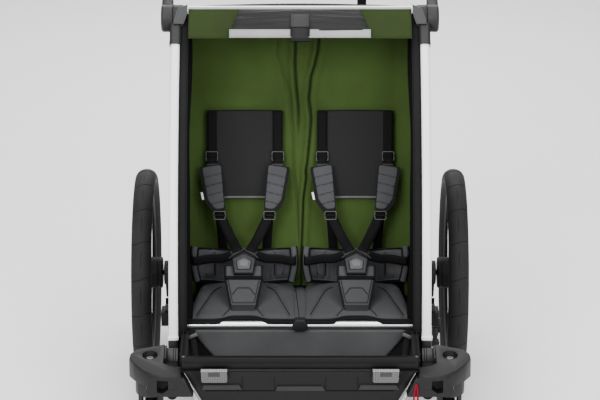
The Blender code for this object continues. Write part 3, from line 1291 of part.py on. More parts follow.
def build_wheels():
    for side in (-1, 1):
        hub = empty(side_name("wheel_axle", side), (side * WHEEL_PLANE, *AXLE), ROOT)
        tyre(side, hub)
        spoked_wheel(side, hub)
        release_button(side, hub)
        swivel = empty(side_name("swivel_axis", side), (side * SWIVEL[0], SWIVEL[1], 0), ROOT)
        caster_fork(side, swivel)
        axle = empty(side_name("caster_axle", side), (side * SWIVEL[0], *caster_axle()), swivel)
        caster_core(side, axle)
        caster_tyre(side, axle)


build_chassis()
build_hoops()
build_cabin()
build_wheels()
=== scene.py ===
"""Looks of a two-seat child bike trailer set up as a stroller.

Metres. Places are written with the rear wheels' axle at y = 0, as in the part's source, and spot() carries
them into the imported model's frame.
"""

import json
import math

import bmesh
import bpy
from mathutils import Matrix, Vector
from mathutils.bvhtree import BVHTree


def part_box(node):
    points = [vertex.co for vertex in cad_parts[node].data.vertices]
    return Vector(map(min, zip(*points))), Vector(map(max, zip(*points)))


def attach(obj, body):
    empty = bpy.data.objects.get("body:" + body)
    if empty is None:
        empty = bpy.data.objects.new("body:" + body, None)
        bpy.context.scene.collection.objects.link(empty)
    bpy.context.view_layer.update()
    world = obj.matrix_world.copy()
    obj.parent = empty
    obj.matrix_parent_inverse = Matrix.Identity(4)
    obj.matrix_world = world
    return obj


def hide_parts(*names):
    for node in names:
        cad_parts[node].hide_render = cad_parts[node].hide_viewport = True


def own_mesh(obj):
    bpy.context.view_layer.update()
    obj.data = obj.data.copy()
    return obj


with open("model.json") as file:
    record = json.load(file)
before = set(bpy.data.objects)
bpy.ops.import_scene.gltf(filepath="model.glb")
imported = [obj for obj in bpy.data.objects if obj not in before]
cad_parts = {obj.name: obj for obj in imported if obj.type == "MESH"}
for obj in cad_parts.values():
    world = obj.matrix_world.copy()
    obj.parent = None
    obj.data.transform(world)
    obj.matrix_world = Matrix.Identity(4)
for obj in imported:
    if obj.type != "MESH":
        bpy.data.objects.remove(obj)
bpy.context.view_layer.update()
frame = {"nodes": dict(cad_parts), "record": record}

RECORD = frame["record"]
BODY_OF = {node: body for body, nodes in RECORD["behaviour"]["bodies"].items() for node in nodes}
SIDES = {"left": -1, "right": 1}

# Camera, at the photograph's angle, in millimetres of lens on a 36 mm wide sensor
CAMERA_PLACE = (0, -5.888, 2.579)
CAMERA_PITCH = math.radians(70)
LENS = 157.1

# Wheels
WHEEL_RADIUS = 0.250
TYRE_HALF_WIDTH = 0.0235
BEAD_RADIUS = 0.204
WHEEL_PLANE = 0.370
SPOKE_COUNT = 20
TREAD_MARKS = 18

# Hoops
FOLD_PIVOT = (-0.430, 0.212)
TOP_JOINT = (-0.080, 0.910)
POST_PLANE = 0.2855
POST_WIDTH = 0.0215
POST_ARC_CENTRE = (0.6873, 0.0887)
POST_ARC_RADIUS = 1.1240
TOP_TUBE = (-0.086, 0.932)
HEADER_TOP = (-0.0942, 0.9378)
HEADER_BOTTOM = (-0.160, 0.886)
HEADER_LENGTH = 0.0839
ROOF_REAR = (0.085, 0.884)
REAR_PIVOT = (0.170, 0.212)
REAR_TOP = (0.055, 0.790)
HANDLE_TOP = (0.200, 1.050)
GRIP_RADIUS = 0.017

# Cabin and seats
CABIN_HALF = 0.2638
OPENING_LOW = 0.262
OPENING_HIGH = 0.905
BACK_FOOT = (-0.1360, 0.2480)
BACK_SLOPE = 0.30
SLING_TOP = 0.2480
SEAT_CENTRE = 0.130
SEAT_HALF_FRONT = 0.1232
SEAT_FRONT = -0.3842
SEAT_REAR = -0.1420
SEAT_TOP = 0.2900
MESH_LOW = 0.4700
MESH_HIGH = 0.6690
HIP_HALF = 0.1175
STRAP_SPREAD = 0.0777
CROTCH_FOOT = (-0.333, 0.2965)
CROTCH_HEAD = (-0.245, 0.3655)
CROTCH_LENGTH = 0.1118
BUCKLE_BASE = 0.0822
BUCKLE_HEIGHT = 0.056
BUCKLE_HALF = 0.0290

# Footwell
TRAY_TOP = 0.2521
TRAY_REAR_TOP = 0.2605
TRAY_FLOOR = 0.130
TRAY_FRONT = -0.600
TRAY_FRONT_FLOOR = -0.545
TRAY_REAR = -0.3895
TRAY_REAR_FLOOR = -0.350
TRAY_HALF_TOP = 0.2606
MEMBER = (-0.583, 0.2634)
SEAT_TUBE = (-0.395, 0.277)
SWIVEL = (0.334, -0.530)
RECESS_FLOOR = 0.2515


AXLE_Y = sum(corner[1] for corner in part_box("tyre_left")) / 2


def spot(x, y, z):
    """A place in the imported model's frame, from one with the rear axle at y = 0."""
    return Vector((x, y + AXLE_Y, z))


# Finishes


def start_finish(name, colour, roughness, metallic=0.0, **sockets):
    """A finish of one colour, with its node tree and its shader."""
    made = bpy.data.materials.new(name)
    made.use_nodes = True
    shader = made.node_tree.nodes["Principled BSDF"]
    shader.inputs["Base Color"].default_value = (*colour, 1)
    shader.inputs["Roughness"].default_value = roughness
    shader.inputs["Metallic"].default_value = metallic
    for socket, value in sockets.items():
        shader.inputs[socket.replace("_", " ")].default_value = value
    made.diffuse_color = (*colour, 1)
    return made, made.node_tree, shader


def add_node(tree, kind, **values):
    """A shader node with its sockets and settings given by name."""
    made = tree.nodes.new("ShaderNode" + kind)
    for name, value in values.items():
        socket = made.inputs.get(name.replace("_", " "))
        if socket is None:
            setattr(made, name, value)
        else:
            socket.default_value = value
    return made


def coordinates(tree, source, scale=(1, 1, 1)):
    """Object coordinates, or the piece's own UV map in metres, stretched by a scale."""
    texture = add_node(tree, "TexCoord")
    mapping = add_node(tree, "Mapping", Scale=scale)
    tree.links.new(texture.outputs[source], mapping.inputs["Vector"])
    return mapping.outputs["Vector"]


def noise(tree, vector, scale, detail=3.0, roughness=0.55):
    made = add_node(tree, "TexNoise", Scale=scale, Detail=detail, Roughness=roughness)
    tree.links.new(vector, made.inputs["Vector"])
    return made.outputs["Fac"]


def stripes(tree, vector, direction, period, profile="SIN"):
    """Even stripes across a direction, a period in metres apart."""
    made = add_node(tree, "TexWave", bands_direction=direction, wave_profile=profile,
                    Scale=math.pi / 10 / period)
    tree.links.new(vector, made.inputs["Vector"])
    return made.outputs["Fac"]


def combine(tree, operation, first, second):
    """Arithmetic on two values, each a number or a node's output."""
    made = add_node(tree, "Math", operation=operation)
    for socket, value in zip(made.inputs, (first, second)):
        if isinstance(value, (int, float)):
            socket.default_value = value
        else:
            tree.links.new(value, socket)
    return made.outputs["Value"]


def colour_by(tree, shader, value, dark, light, low=0.3, high=0.7):
    """Spreads a value from a dark colour to a light one."""
    ramp = add_node(tree, "ValToRGB")
    ramp.color_ramp.elements[0].position = low
    ramp.color_ramp.elements[1].position = high
    ramp.color_ramp.elements[0].color = (*dark, 1)
    ramp.color_ramp.elements[1].color = (*light, 1)
    tree.links.new(value, ramp.inputs["Fac"])
    tree.links.new(ramp.outputs["Color"], shader.inputs["Base Color"])


def roughness_by(tree, shader, value, low, high):
    """Spreads a value over a range of roughness."""
    spread = add_node(tree, "MapRange", To_Min=low, To_Max=high)
    tree.links.new(value, spread.inputs["Value"])
    tree.links.new(spread.outputs["Result"], shader.inputs["Roughness"])


def bump_by(tree, shader, height, strength, distance):
    """Raises the surface by a height, as fine relief."""
    bump = add_node(tree, "Bump", Strength=strength, Distance=distance)
    tree.links.new(height, bump.inputs["Height"])
    tree.links.new(bump.outputs["Normal"], shader.inputs["Normal"])


def shade(colour, amount):
    return tuple(channel * amount for channel in colour)


def woven(name, colour, thread=0.0011, source="UV", crumple=0.0, sheen=0.02, roughness=0.85):
    """Plain-woven cloth: crossing threads, uneven dye and a soft crumple."""
    made, tree, shader = start_finish(name, colour, roughness, Sheen_Weight=sheen, Sheen_Roughness=0.5,
                                      Specular_IOR_Level=0.12)
    vector = coordinates(tree, source)
    weave = combine(tree, "ADD", stripes(tree, vector, "X", thread), stripes(tree, vector, "Y", thread))
    solid = coordinates(tree, "Object")
    patches = noise(tree, solid, 9.0)
    fibres = noise(tree, solid, 700.0, 2.0)
    tone = combine(tree, "ADD", combine(tree, "MULTIPLY", patches, 0.75),
                   combine(tree, "MULTIPLY", fibres, 0.25))
    colour_by(tree, shader, tone, shade(colour, 0.82), shade(colour, 1.15))
    height = combine(tree, "MULTIPLY", weave, 0.22)
    if crumple:
        creases = noise(tree, coordinates(tree, "Object", (1, 1, 0.45)), 30.0, 4.0)
        height = combine(tree, "ADD", height, combine(tree, "MULTIPLY", creases, crumple))
    bump_by(tree, shader, height, 0.35, 0.0012)
    return made


def netting(name, colour):
    """Spacer mesh: rows of small holes between darker and lighter threads."""
    made, tree, shader = start_finish(name, colour, 0.9, Sheen_Weight=0.02, Specular_IOR_Level=0.12)
    vector = coordinates(tree, "UV")
    holes = combine(tree, "MULTIPLY", stripes(tree, vector, "X", 0.0030), stripes(tree, vector, "Y", 0.0034))
    colour_by(tree, shader, holes, shade(colour, 1.12), shade(colour, 0.62), 0.35, 0.85)
    bump_by(tree, shader, combine(tree, "SUBTRACT", 1.0, holes), 0.3, 0.0005)
    return made


def webbing(name, colour):
    """Ribbed polyester tape with a firmer selvedge along both edges."""
    made, tree, shader = start_finish(name, colour, 0.72, Specular_IOR_Level=0.10)
    vector = coordinates(tree, "UV")
    ribs = stripes(tree, vector, "Y", 0.0013)
    chevrons = stripes(tree, vector, "X", 0.0042, "TRI")
    height = combine(tree, "ADD", ribs, combine(tree, "MULTIPLY", chevrons, 0.8))
    colour_by(tree, shader, height, shade(colour, 0.7), shade(colour, 1.7), 0.4, 1.6)
    bump_by(tree, shader, height, 0.5, 0.0006)
    return made


def moulded(name, colour, roughness=0.5, grain=0.12, gloss=0.25):
    """Injection-moulded plastic with a fine spark grain and slightly rubbed patches."""
    made, tree, shader = start_finish(name, colour, roughness, Specular_IOR_Level=gloss)
    solid = coordinates(tree, "Object")
    rubbed = noise(tree, solid, 14.0)
    colour_by(tree, shader, rubbed, shade(colour, 0.9), shade(colour, 1.12))
    roughness_by(tree, shader, rubbed, roughness - 0.08, roughness + 0.10)
    bump_by(tree, shader, noise(tree, solid, 1500.0, 2.0), grain, 0.0004)
    return made


def painted(name, colour, roughness=0.3, coat=0.3, gloss=0.5):
    """Powder-coated tube: a hint of orange peel under a clear layer."""
    made, tree, shader = start_finish(name, colour, roughness, Coat_Weight=coat, Coat_Roughness=0.2,
                                      Specular_IOR_Level=gloss)
    solid = coordinates(tree, "Object")
    colour_by(tree, shader, noise(tree, solid, 6.0), shade(colour, 0.96), shade(colour, 1.02))
    bump_by(tree, shader, noise(tree, solid, 350.0, 2.0), 0.06, 0.0005)
    return made


def brushed(name, colour, roughness=0.28):
    """Bare aluminium brushed along X."""
    made, tree, shader = start_finish(name, colour, roughness, 1.0)
    lines = noise(tree, coordinates(tree, "Object", (4, 400, 400)), 1.0, 3.0)
    colour_by(tree, shader, lines, shade(colour, 0.88), shade(colour, 1.05))
    roughness_by(tree, shader, lines, roughness - 0.08, roughness + 0.12)
    bump_by(tree, shader, lines, 0.08, 0.0003)
    return made


def tyre_rubber(name, colour):
    """Dull rubber with a little dust."""
    made, tree, shader = start_finish(name, colour, 0.8, Specular_IOR_Level=0.25)
    solid = coordinates(tree, "Object")
    dust = noise(tree, solid, 22.0, 4.0)
    colour_by(tree, shader, dust, shade(colour, 0.8), shade(colour, 1.35))
    roughness_by(tree, shader, dust, 0.62, 0.86)
    bump_by(tree, shader, noise(tree, solid, 900.0, 2.0), 0.15, 0.0005)
    return made


def foam(name, colour):
    """Closed-cell grip foam."""
    made, tree, shader = start_finish(name, colour, 0.92, Sheen_Weight=0.1)
    solid = coordinates(tree, "Object")
    cells = add_node(tree, "TexVoronoi", Scale=420.0)
    tree.links.new(solid, cells.inputs["Vector"])
    colour_by(tree, shader, cells.outputs["Distance"], shade(colour, 0.8), shade(colour, 1.3), 0.1, 0.6)
    bump_by(tree, shader, cells.outputs["Distance"], 0.35, 0.0006)
    return made


def prismatic(name, colour):
    """Clear reflector over a field of small prisms."""
    made, tree, shader = start_finish(name, colour, 0.12, 0.25, Coat_Weight=0.8, Coat_Roughness=0.05)
    solid = coordinates(tree, "Object")
    across = stripes(tree, solid, "X", 0.0052, "TRI")
    upward = stripes(tree, solid, "Z", 0.0052, "TRI")
    field = combine(tree, "MULTIPLY", across, upward)
    colour_by(tree, shader, field, shade(colour, 0.35), shade(colour, 1.1), 0.05, 0.7)
    bump_by(tree, shader, field, 0.5, 0.0008)
    return made


def tinted_film(name, colour):
    """Dark window film with the slow ripples of a stretched sheet."""
    made, tree, shader = start_finish(name, colour, 0.09, Coat_Weight=0.5, Coat_Roughness=0.03)
    ripples = noise(tree, coordinates(tree, "Object"), 7.0)
    roughness_by(tree, shader, ripples, 0.05, 0.16)
    bump_by(tree, shader, ripples, 0.25, 0.004)
    return made


GREEN = (0.038, 0.067, 0.0150)
# HEADER_GREEN_SHADED: the same green canvas darkened for the upward-facing header band, painted shade
HEADER_GREEN_SHADED = (0.0185, 0.0305, 0.0078)
PAD_GREY = (0.056, 0.057, 0.061)
# SEAT_GREY_SHADED: the pads' grey cloth darkened for the seats and crotch pads, painted shade against the
# strong overhead light
SEAT_GREY_SHADED = (0.046, 0.047, 0.050)
FINISH = {
    "white_paint": painted("white_paint_finish", (0.88, 0.89, 0.89)),
    "black_paint": painted("black_paint_finish", (0.0040, 0.0040, 0.0045), 0.5, 0.0, 0.16),
    "bare_aluminium": brushed("brushed_aluminium", (0.86, 0.87, 0.88)),
    "black_plastic": moulded("moulded_dark_grey", (0.0082, 0.0082, 0.0091), gloss=0.32),
    "tub_plastic": moulded("tub_plastic", (0.0062, 0.0062, 0.0067), 0.6, gloss=0.18),
    "ledge_plastic": moulded("ledge_plastic", (0.0165, 0.0165, 0.0175), 0.5),
    "grey_plastic": moulded("moulded_grey", (0.030, 0.031, 0.033), 0.42),
    "pod_plastic": moulded("pod_plastic", (0.0056, 0.0056, 0.0062), 0.52, gloss=0.26),
    "tyre_rubber": tyre_rubber("tyre_rubber_finish", (0.0100, 0.0100, 0.0106)),
    "foam": foam("grip_foam", (0.022, 0.022, 0.023)),
    "green_fabric": woven("green_canvas", GREEN, crumple=0.8),
    "header_green_shaded": woven("header_canvas_shaded", HEADER_GREEN_SHADED, crumple=0.5),
    "grey_fabric": woven("pad_cloth", PAD_GREY, 0.0012, "Object"),
    "seat_cloth_shaded": woven("seat_cloth_shaded", SEAT_GREY_SHADED, 0.0012, "Object"),
    "seam_thread": moulded("seam_thread", (0.0060, 0.0060, 0.0065), 0.7, 0.2, 0.1),
    "slider_grey": moulded("slider_grey", (0.085, 0.086, 0.088), 0.4, 0.05, 0.3),
    "dark_fabric": woven("dark_canvas", (0.0085, 0.0085, 0.009), crumple=0.3),
    "black_webbing": webbing("harness_webbing", (0.0034, 0.0034, 0.0038)),
    "red_webbing": webbing("red_webbing_finish", (0.145, 0.003, 0.012)),
    "clear_reflector": prismatic("reflector_prisms", (0.085, 0.088, 0.086)),
    "cover_cloth": woven("cover_cloth", (0.0125, 0.013, 0.0125), crumple=0.5, roughness=0.55),
    "tab_cloth": woven("tab_cloth", (0.034, 0.034, 0.035), crumple=0.2),
    "mesh_cloth": netting("back_netting", (0.0165, 0.0165, 0.0172)),
    "tub_lining": woven("tub_lining", (0.098, 0.099, 0.102), 0.0014, crumple=0.2),
    "black_piping": moulded("black_piping", (0.004, 0.004, 0.0045), 0.6, 0.2, 0.12),
    "grey_piping": moulded("grey_piping", (0.080, 0.080, 0.084), 0.5, 0.2),
    "silver_tape": moulded("silver_tape", (0.255, 0.258, 0.252), 0.5, 0.3, 0.2),
    "steel": brushed("plated_steel", (0.50, 0.50, 0.51), 0.3),
    "button_grey": moulded("button_grey", (0.073, 0.078, 0.081), 0.35, 0.05),
    "collar_grey": moulded("collar_grey", (0.030, 0.030, 0.032), 0.45, 0.1),
    "bracket_grey": moulded("bracket_grey", (0.052, 0.053, 0.055), 0.35, 0.25),
    "button_dark": moulded("button_dark", (0.050, 0.052, 0.055), 0.4, 0.05),
    "light_tube": painted("light_grey_tube", (0.50, 0.51, 0.52)),
    "window_film": tinted_film("window_film", (0.012, 0.013, 0.014)),
    "bare_tag": woven("bare_tag", (0.75, 0.75, 0.74), 0.0008, "Object"),
}


# Shaping


def smooth_line(points, steps=6, closed=False):
    """A Catmull-Rom line through points."""
    points = [Vector(point) for point in points]
    count = len(points)
    line = []
    for i in range(count if closed else count - 1):
        if closed:
            a, b, c, d = (points[(i + k) % count] for k in (-1, 0, 1, 2))
        else:
            b, c = points[i], points[i + 1]
            a = points[i - 1] if i else b * 2 - c
            d = points[i + 2] if i + 2 < count else c * 2 - b
        for k in range(steps):
            t = k / steps
            line.append(0.5 * (2 * b + (c - a) * t + (2 * a - 5 * b + 4 * c - d) * t ** 2
                               + (3 * b - a - 3 * c + d) * t ** 3))
    if not closed:
        line.append(points[-1])
    return line


def hang(name, mesh, finish, body, smooth=38):
    """Makes an object of a mesh, finishes it and lets it ride on a body."""
    mesh.shade_smooth()
    mesh.set_sharp_from_angle(angle=math.radians(smooth))
    mesh.materials.clear()
    mesh.materials.append(FINISH[finish])
    made = bpy.data.objects.new(name, mesh)
    bpy.context.scene.collection.objects.link(made)
    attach(made, body)
    return made


def close_mesh(name, bm, finish, body, smooth=38, outward=True):
    """Ends a mesh under construction and makes an object of it."""
    if outward:
        bmesh.ops.recalc_face_normals(bm, faces=bm.faces)
    mesh = bpy.data.meshes.new(name)
    bm.to_mesh(mesh)
    bm.free()
    return hang(name, mesh, finish, body, smooth)


def refined(node, finish, rounding=0.0, smooth=38):
    """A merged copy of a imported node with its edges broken, which stands for it."""
    bm = bmesh.new()
    bm.from_mesh(frame["nodes"][node].data)
    bmesh.ops.remove_doubles(bm, verts=bm.verts, dist=0.00002)
    bmesh.ops.dissolve_limit(bm, angle_limit=math.radians(1.0), verts=bm.verts, edges=bm.edges)
    if rounding:
        corners = [edge for edge in bm.edges
                   if len(edge.link_faces) == 2 and edge.calc_face_angle(0) > math.radians(34)]
        bmesh.ops.bevel(bm, geom=corners, offset=rounding, offset_type="OFFSET", affect="EDGES", segments=2,
                        profile=0.5, material=-1, clamp_overlap=True)
    made = close_mesh(node + "_finished", bm, finish, BODY_OF[node], smooth, outward=False)
    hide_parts(node)
    return made


def turned(name, profile, centre, axis, finish, body, steps=48, smooth=38):
    """A profile of (radius, place along) turned about the X or Z axis through a centre."""
    bm = bmesh.new()
    if axis == "X":
        verts = [bm.verts.new((along, radius, 0)) for radius, along in profile]
    else:
        verts = [bm.verts.new((radius, 0, along)) for radius, along in profile]
    edges = [bm.edges.new(pair) for pair in zip(verts, verts[1:])]
    direction = (1, 0, 0) if axis == "X" else (0, 0, 1)
    bmesh.ops.spin(bm, geom=verts + edges, cent=(0, 0, 0), axis=direction, angle=math.tau, steps=steps,
                   use_merge=True)
    bmesh.ops.remove_doubles(bm, verts=bm.verts, dist=0.00001)
    bmesh.ops.translate(bm, verts=bm.verts, vec=Vector(centre))
    return close_mesh(name, bm, finish, body, smooth)


def ring_profile(points):
    """A profile that ends where it starts, so that turning it gives a ring."""
    return list(points) + [points[0]]


def facing(profile, side):
    """A profile of (radius, place along) whose places run outwards on a side."""
    return [(radius, side * along) for radius, along in profile]


def mirrored(outline, side):
    """An outline drawn for the right, put on a side."""
    return [(side * a, b) for a, b in outline]


def bars(name, lines, radius, finish, body, closed=False):
    """Round bars, cords or piping along lines of points, as one piece."""
    line = bpy.data.curves.new(name + "_line", "CURVE")
    line.dimensions = "3D"
    line.bevel_depth = radius
    line.bevel_resolution = 3 if len(lines) == 1 else 1
    line.use_fill_caps = not closed
    for points in lines:
        spline = line.splines.new("POLY")
        spline.points.add(len(points) - 1)
        for place, point in zip(spline.points, points):
            place.co = (*point, 1)
        spline.use_cyclic_u = closed
    carrier = bpy.data.objects.new(name + "_line", line)
    bpy.context.scene.collection.objects.link(carrier)
    mesh = bpy.data.meshes.new_from_object(carrier.evaluated_get(bpy.context.evaluated_depsgraph_get()))
    bpy.data.objects.remove(carrier)
    return hang(name, mesh, finish, body, 50)


def bar(name, points, radius, finish, body, closed=False):
    return bars(name, [points], radius, finish, body, closed)


def plate(name, outline, thickness, to_world, finish, body, rounding=0.0):
    """A flat outline given a thickness in a plane of its own, with its front edge rounded."""
    bm = bmesh.new()
    base = bm.faces.new([bm.verts.new(to_world(a, b, 0)) for a, b in outline])
    grown = bmesh.ops.extrude_face_region(bm, geom=[base])["geom"]
    moved = [part for part in grown if isinstance(part, bmesh.types.BMVert)]
    top = [part for part in grown if isinstance(part, bmesh.types.BMFace)]
    bmesh.ops.translate(bm, verts=moved, vec=to_world(0, 0, thickness) - to_world(0, 0, 0))
    if rounding:
        bmesh.ops.bevel(bm, geom=list(top[0].edges), offset=rounding, offset_type="OFFSET", affect="EDGES",
                        segments=3, profile=0.5, material=-1, clamp_overlap=True)
    return close_mesh(name, bm, finish, body)


def cloth_grid(columns, rows, place):
    """A grid whose points go where place(s, t) says, with UV in metres along its middle lines."""
    across, along = [0.0], [0.0]
    for i in range(columns):
        across.append(across[-1] + (place((i + 1) / columns, 0.5) - place(i / columns, 0.5)).length)
    for i in range(rows):
        along.append(along[-1] + (place(0.5, (i + 1) / rows) - place(0.5, i / rows)).length)
    bm = bmesh.new()
    uv = bm.loops.layers.uv.new("cut")
    bmesh.ops.create_grid(bm, x_segments=columns, y_segments=rows, size=1, calc_uvs=True)
    for face in bm.faces:
        for loop in face.loops:
            i, j = (round((value + 1) / 2 * count) for value, count in zip(loop.vert.co, (columns, rows)))
            loop[uv].uv = (across[i], along[j])
    for vert in bm.verts:
        vert.co = place((vert.co.x + 1) / 2, (vert.co.y + 1) / 2)
    return bm, across[-1], along[-1]


def thickened(piece, wall, offset=0):
    """Gives a surface a wall, centred on it unless the offset says otherwise."""
    thicken = piece.modifiers.new("wall", "SOLIDIFY")
    thicken.thickness = wall
    thicken.offset = offset
    return piece


def cloth(name, columns, rows, place, finish, body, wall=0.0012, joint=None):
    """A sheet of fabric, given a wall."""
    bm, width, length = cloth_grid(columns, rows, place)
    area = sum(face.calc_area() for face in bm.faces)
    made = thickened(close_mesh(name, bm, finish, body, 60, outward=False), wall)
    if joint:
        crumple(made, joint)
    return made


def crumple(piece, way="fold"):
    """Gives a fabric piece a mesh of its own."""
    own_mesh(piece)
    return piece


def strap(name, points, width, finish, body, across=(1, 0, 0), thickness=0.0018, joint=None, steps=6,
          closed=False):
    """Webbing along a line through points, kept flat to a direction across it."""
    line = smooth_line(points, steps, closed)
    if closed:
        line.append(line[0])
    count = len(line) - 1
    lengths = [0.0]
    for first, second in zip(line, line[1:]):
        lengths.append(lengths[-1] + (second - first).length)
    sides = []
    side = Vector(across).normalized()
    for i in range(count + 1):
        ahead = (line[min(i + 1, count)] - line[max(i - 1, 0)]).normalized()
        side = (side - ahead * side.dot(ahead)).normalized()
        sides.append(side)
    bm = bmesh.new()
    uv = bm.loops.layers.uv.new("cut")
    bmesh.ops.create_grid(bm, x_segments=3, y_segments=count, size=1)
    shares = {vert: ((vert.co.x + 1) / 2, round((vert.co.y + 1) / 2 * count)) for vert in bm.verts}
    for face in bm.faces:
        for loop in face.loops:
            s, i = shares[loop.vert]
            loop[uv].uv = (s * width, lengths[i])
    for vert in bm.verts:
        s, i = shares[vert]
        vert.co = line[i] + sides[i] * (s - 0.5) * width
    made = thickened(close_mesh(name, bm, finish, body, 60, outward=False), thickness)
    if joint:
        crumple(made, joint)
    return made


def slab(columns, rows, front, back):
    """A closed body between two surfaces, made by extruding a grid."""
    bm = bmesh.new()
    bmesh.ops.create_grid(bm, x_segments=columns, y_segments=rows, size=1)
    grown = bmesh.ops.extrude_face_region(bm, geom=list(bm.faces))["geom"]
    lifted = {part for part in grown if isinstance(part, bmesh.types.BMVert)}
    for vert in bm.verts:
        s, t = (vert.co.x + 1) / 2, (vert.co.y + 1) / 2
        vert.co = front(s, t) if vert in lifted else back(s, t)
    bmesh.ops.recalc_face_normals(bm, faces=bm.faces)
    return bm


def applied(piece):
    """The piece's mesh with its modifiers applied, which then are gone."""
    mesh = bpy.data.meshes.new_from_object(piece.evaluated_get(bpy.context.evaluated_depsgraph_get()))
    piece.modifiers.clear()
    piece.data = mesh
    return piece


def stuffed(name, bm, finish, body, voxel, cap, pressure=4.0, last_step=16):
    """A pad: its cover is remeshed evenly and swollen as cloth, and no point moves further than the cap."""
    made = close_mesh(name, bm, finish, body, 70)
    remesh = made.modifiers.new("even", "REMESH")
    remesh.mode = "VOXEL"
    remesh.voxel_size = voxel
    applied(made)
    start = [vert.co.copy() for vert in made.data.vertices]
    stuffing = made.modifiers.new("stuffing", "CLOTH")
    stuffing.settings.use_pressure = True
    stuffing.settings.uniform_pressure_force = pressure
    stuffing.settings.effector_weights.gravity = 0
    for step in range(1, last_step + 1):
        bpy.context.scene.frame_set(step)
    swollen = made.evaluated_get(bpy.context.evaluated_depsgraph_get()).data
    grown = [vert.co.copy() for vert in swollen.vertices]
    made.modifiers.clear()
    for vert, before, after in zip(made.data.vertices, start, grown):
        move = after - before
        vert.co = before + move * min(1.0, cap / max(move.length, 1e-9))
    bpy.context.scene.frame_set(1)
    finer = made.modifiers.new("finer", "SUBSURF")
    finer.levels = 1
    finer.render_levels = 1
    applied(made)
    made.data.shade_smooth()
    return made


def sew(piece, depth_at, direction):
    """Presses seams into a pad along a direction, by the depth that depth_at gives each point."""
    push = Vector(direction).normalized()
    moved = [vert.co + push * depth_at(vert.co, vert.normal) for vert in piece.data.vertices]
    for vert, place in zip(piece.data.vertices, moved):
        vert.co = place


def bump_shape(distance, width):
    """A soft bump: one in its middle, falling to nothing over a few widths."""
    return math.exp(-(distance / width) ** 2)


# Places on the trailer


def post_y(height):
    """Y of the posts' middle line at a height."""
    return POST_ARC_CENTRE[0] - (POST_ARC_RADIUS ** 2 - (height - POST_ARC_CENTRE[1]) ** 2) ** 0.5


def side_line(side, points, centre=0.0):
    """Places drawn for the right of a middle line, put on a side of it."""
    return [spot(centre + side * x, y, z) for x, y, z in points]


def post_line(x, low, high, forward=0.0, steps=24):
    """Points along a post, moved forward square to it."""
    line = []
    for i in range(steps + 1):
        z = low + (high - low) * i / steps
        y = post_y(z)
        outward = Vector((y - POST_ARC_CENTRE[0], z - POST_ARC_CENTRE[1])).normalized() * forward
        line.append(spot(x, y + outward.x, z + outward.y))
    return line


def back_y(height):
    """Y of the seats' back at a height."""
    return BACK_FOOT[0] + (height - BACK_FOOT[1]) * BACK_SLOPE


def on_back(x, z, out=0.0):
    """A place on the seats' back, out from its face."""
    return spot(x, back_y(z) - out, z)


def on_crotch(side, x, up, out):
    """A place on a crotch pad's slanting front, up from its foot and out from its face."""
    slope = Vector((0, CROTCH_HEAD[0] - CROTCH_FOOT[0], CROTCH_HEAD[1] - CROTCH_FOOT[1])).normalized()
    outward = Vector((0, -slope.z, slope.y))
    return spot(side * SEAT_CENTRE + x, *CROTCH_FOOT) + slope * up + outward * out


def on_front(x, up, out):
    """A place on the tub's sloping front, up from its top edge and out from its face."""
    slope = Vector((0, TRAY_FRONT - TRAY_FRONT_FLOOR, TRAY_TOP - TRAY_FLOOR)).normalized()
    outward = Vector((0, -slope.z, slope.y))
    return spot(x, TRAY_FRONT, TRAY_TOP) + slope * up + outward * out


def on_header(x, share, out):
    """A place on the header, from its lower edge to its upper one, out from its face."""
    low, high = Vector(HEADER_BOTTOM), Vector(HEADER_TOP)
    y, z = low.lerp(high, share)
    return spot(x, y - 0.66 * out, z + 0.75 * out)


# Frame


def dress_frame():
    """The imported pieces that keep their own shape, with broken edges and their finishes."""
    for node, finish, rounding in (
            ("axle_beam", "black_paint", 0.0008), ("rear_cross_tube", "black_paint", 0.0008),
            ("front_cross_member", "black_paint", 0),
            ("top_front_tube", "white_paint", 0), ("rear_hoop", "black_paint", 0),
            ("handlebar_tube", "black_paint", 0), ("handlebar_grip", "foam", 0.0006),
            ("footwell_tray", "tub_plastic", 0.0012), ("brake_lever", "grey_plastic", 0.0007)):
        refined(node, finish, rounding)
    for side in SIDES:
        for name, finish, rounding in (
                ("side_rail", "black_paint", 0.0006), ("front_post", "white_paint", 0),
                ("post_foot", "black_plastic", 0.0007), ("corner_joint", "black_plastic", 0.0009),
                ("handle_knuckle", "black_plastic", 0.0009), ("pod", "pod_plastic", 0.0016),
                ("axle_receiver", "black_plastic", 0.0008),
                ("caster_fork", "black_plastic", 0.0010), ("caster_core", "grey_plastic", 0.0006),
                ("release_button", "grey_plastic", 0.0004)):
            refined(f"{name}_{side}", finish, rounding)


def post_details():
    """Rivets through the posts' lower ends."""
    for name, side in SIDES.items():
        x = side * (POST_PLANE - POST_WIDTH / 2)
        z = 0.283
        rivet = [(0.0001, -0.0016), (0.0032, -0.0012), (0.0036, 0.0), (0.0036, 0.0008)]
        turned(f"post_rivet_{name}", [(r, side * (a + POST_WIDTH + 0.0008)) for r, a in rivet],
               spot(x, post_y(z), z), "X", "steel", "front_hoop", 20)


def seat_clip():
    """The bare tube under the seats' front, and the dark clip moulded over its middle."""
    y, z = SEAT_TUBE
    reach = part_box("seat_front_tube")[1][0]
    radius = 0.0100
    profile = [(0.0001, -reach), (radius, -reach), (radius, reach), (0.0001, reach)]
    made = turned("seat_tube_bright", profile, spot(0, y, z), "X", "bare_aluminium", "base", 40)
    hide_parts("seat_front_tube")
    outline = [(-0.0180, z - 0.0060), (0.0180, z - 0.0060), (0.0171, z + 0.006), (0.0104, z + 0.0176),
               (-0.0104, z + 0.0176), (-0.0171, z + 0.006)]
    lower = [(-0.0105, z - 0.0105), (0.0105, z - 0.0105), (0.0115, z - 0.0050), (-0.0115, z - 0.0050)]

    def to_world(a, b, out):
        return spot(a, y + 0.0046 - out, b)

    plate("seat_tube_clip", outline, 0.0208, to_world, "black_plastic", "base", 0.0014)
    plate("seat_tube_catch", lower, 0.0185, to_world, "black_plastic", "base", 0.0010)


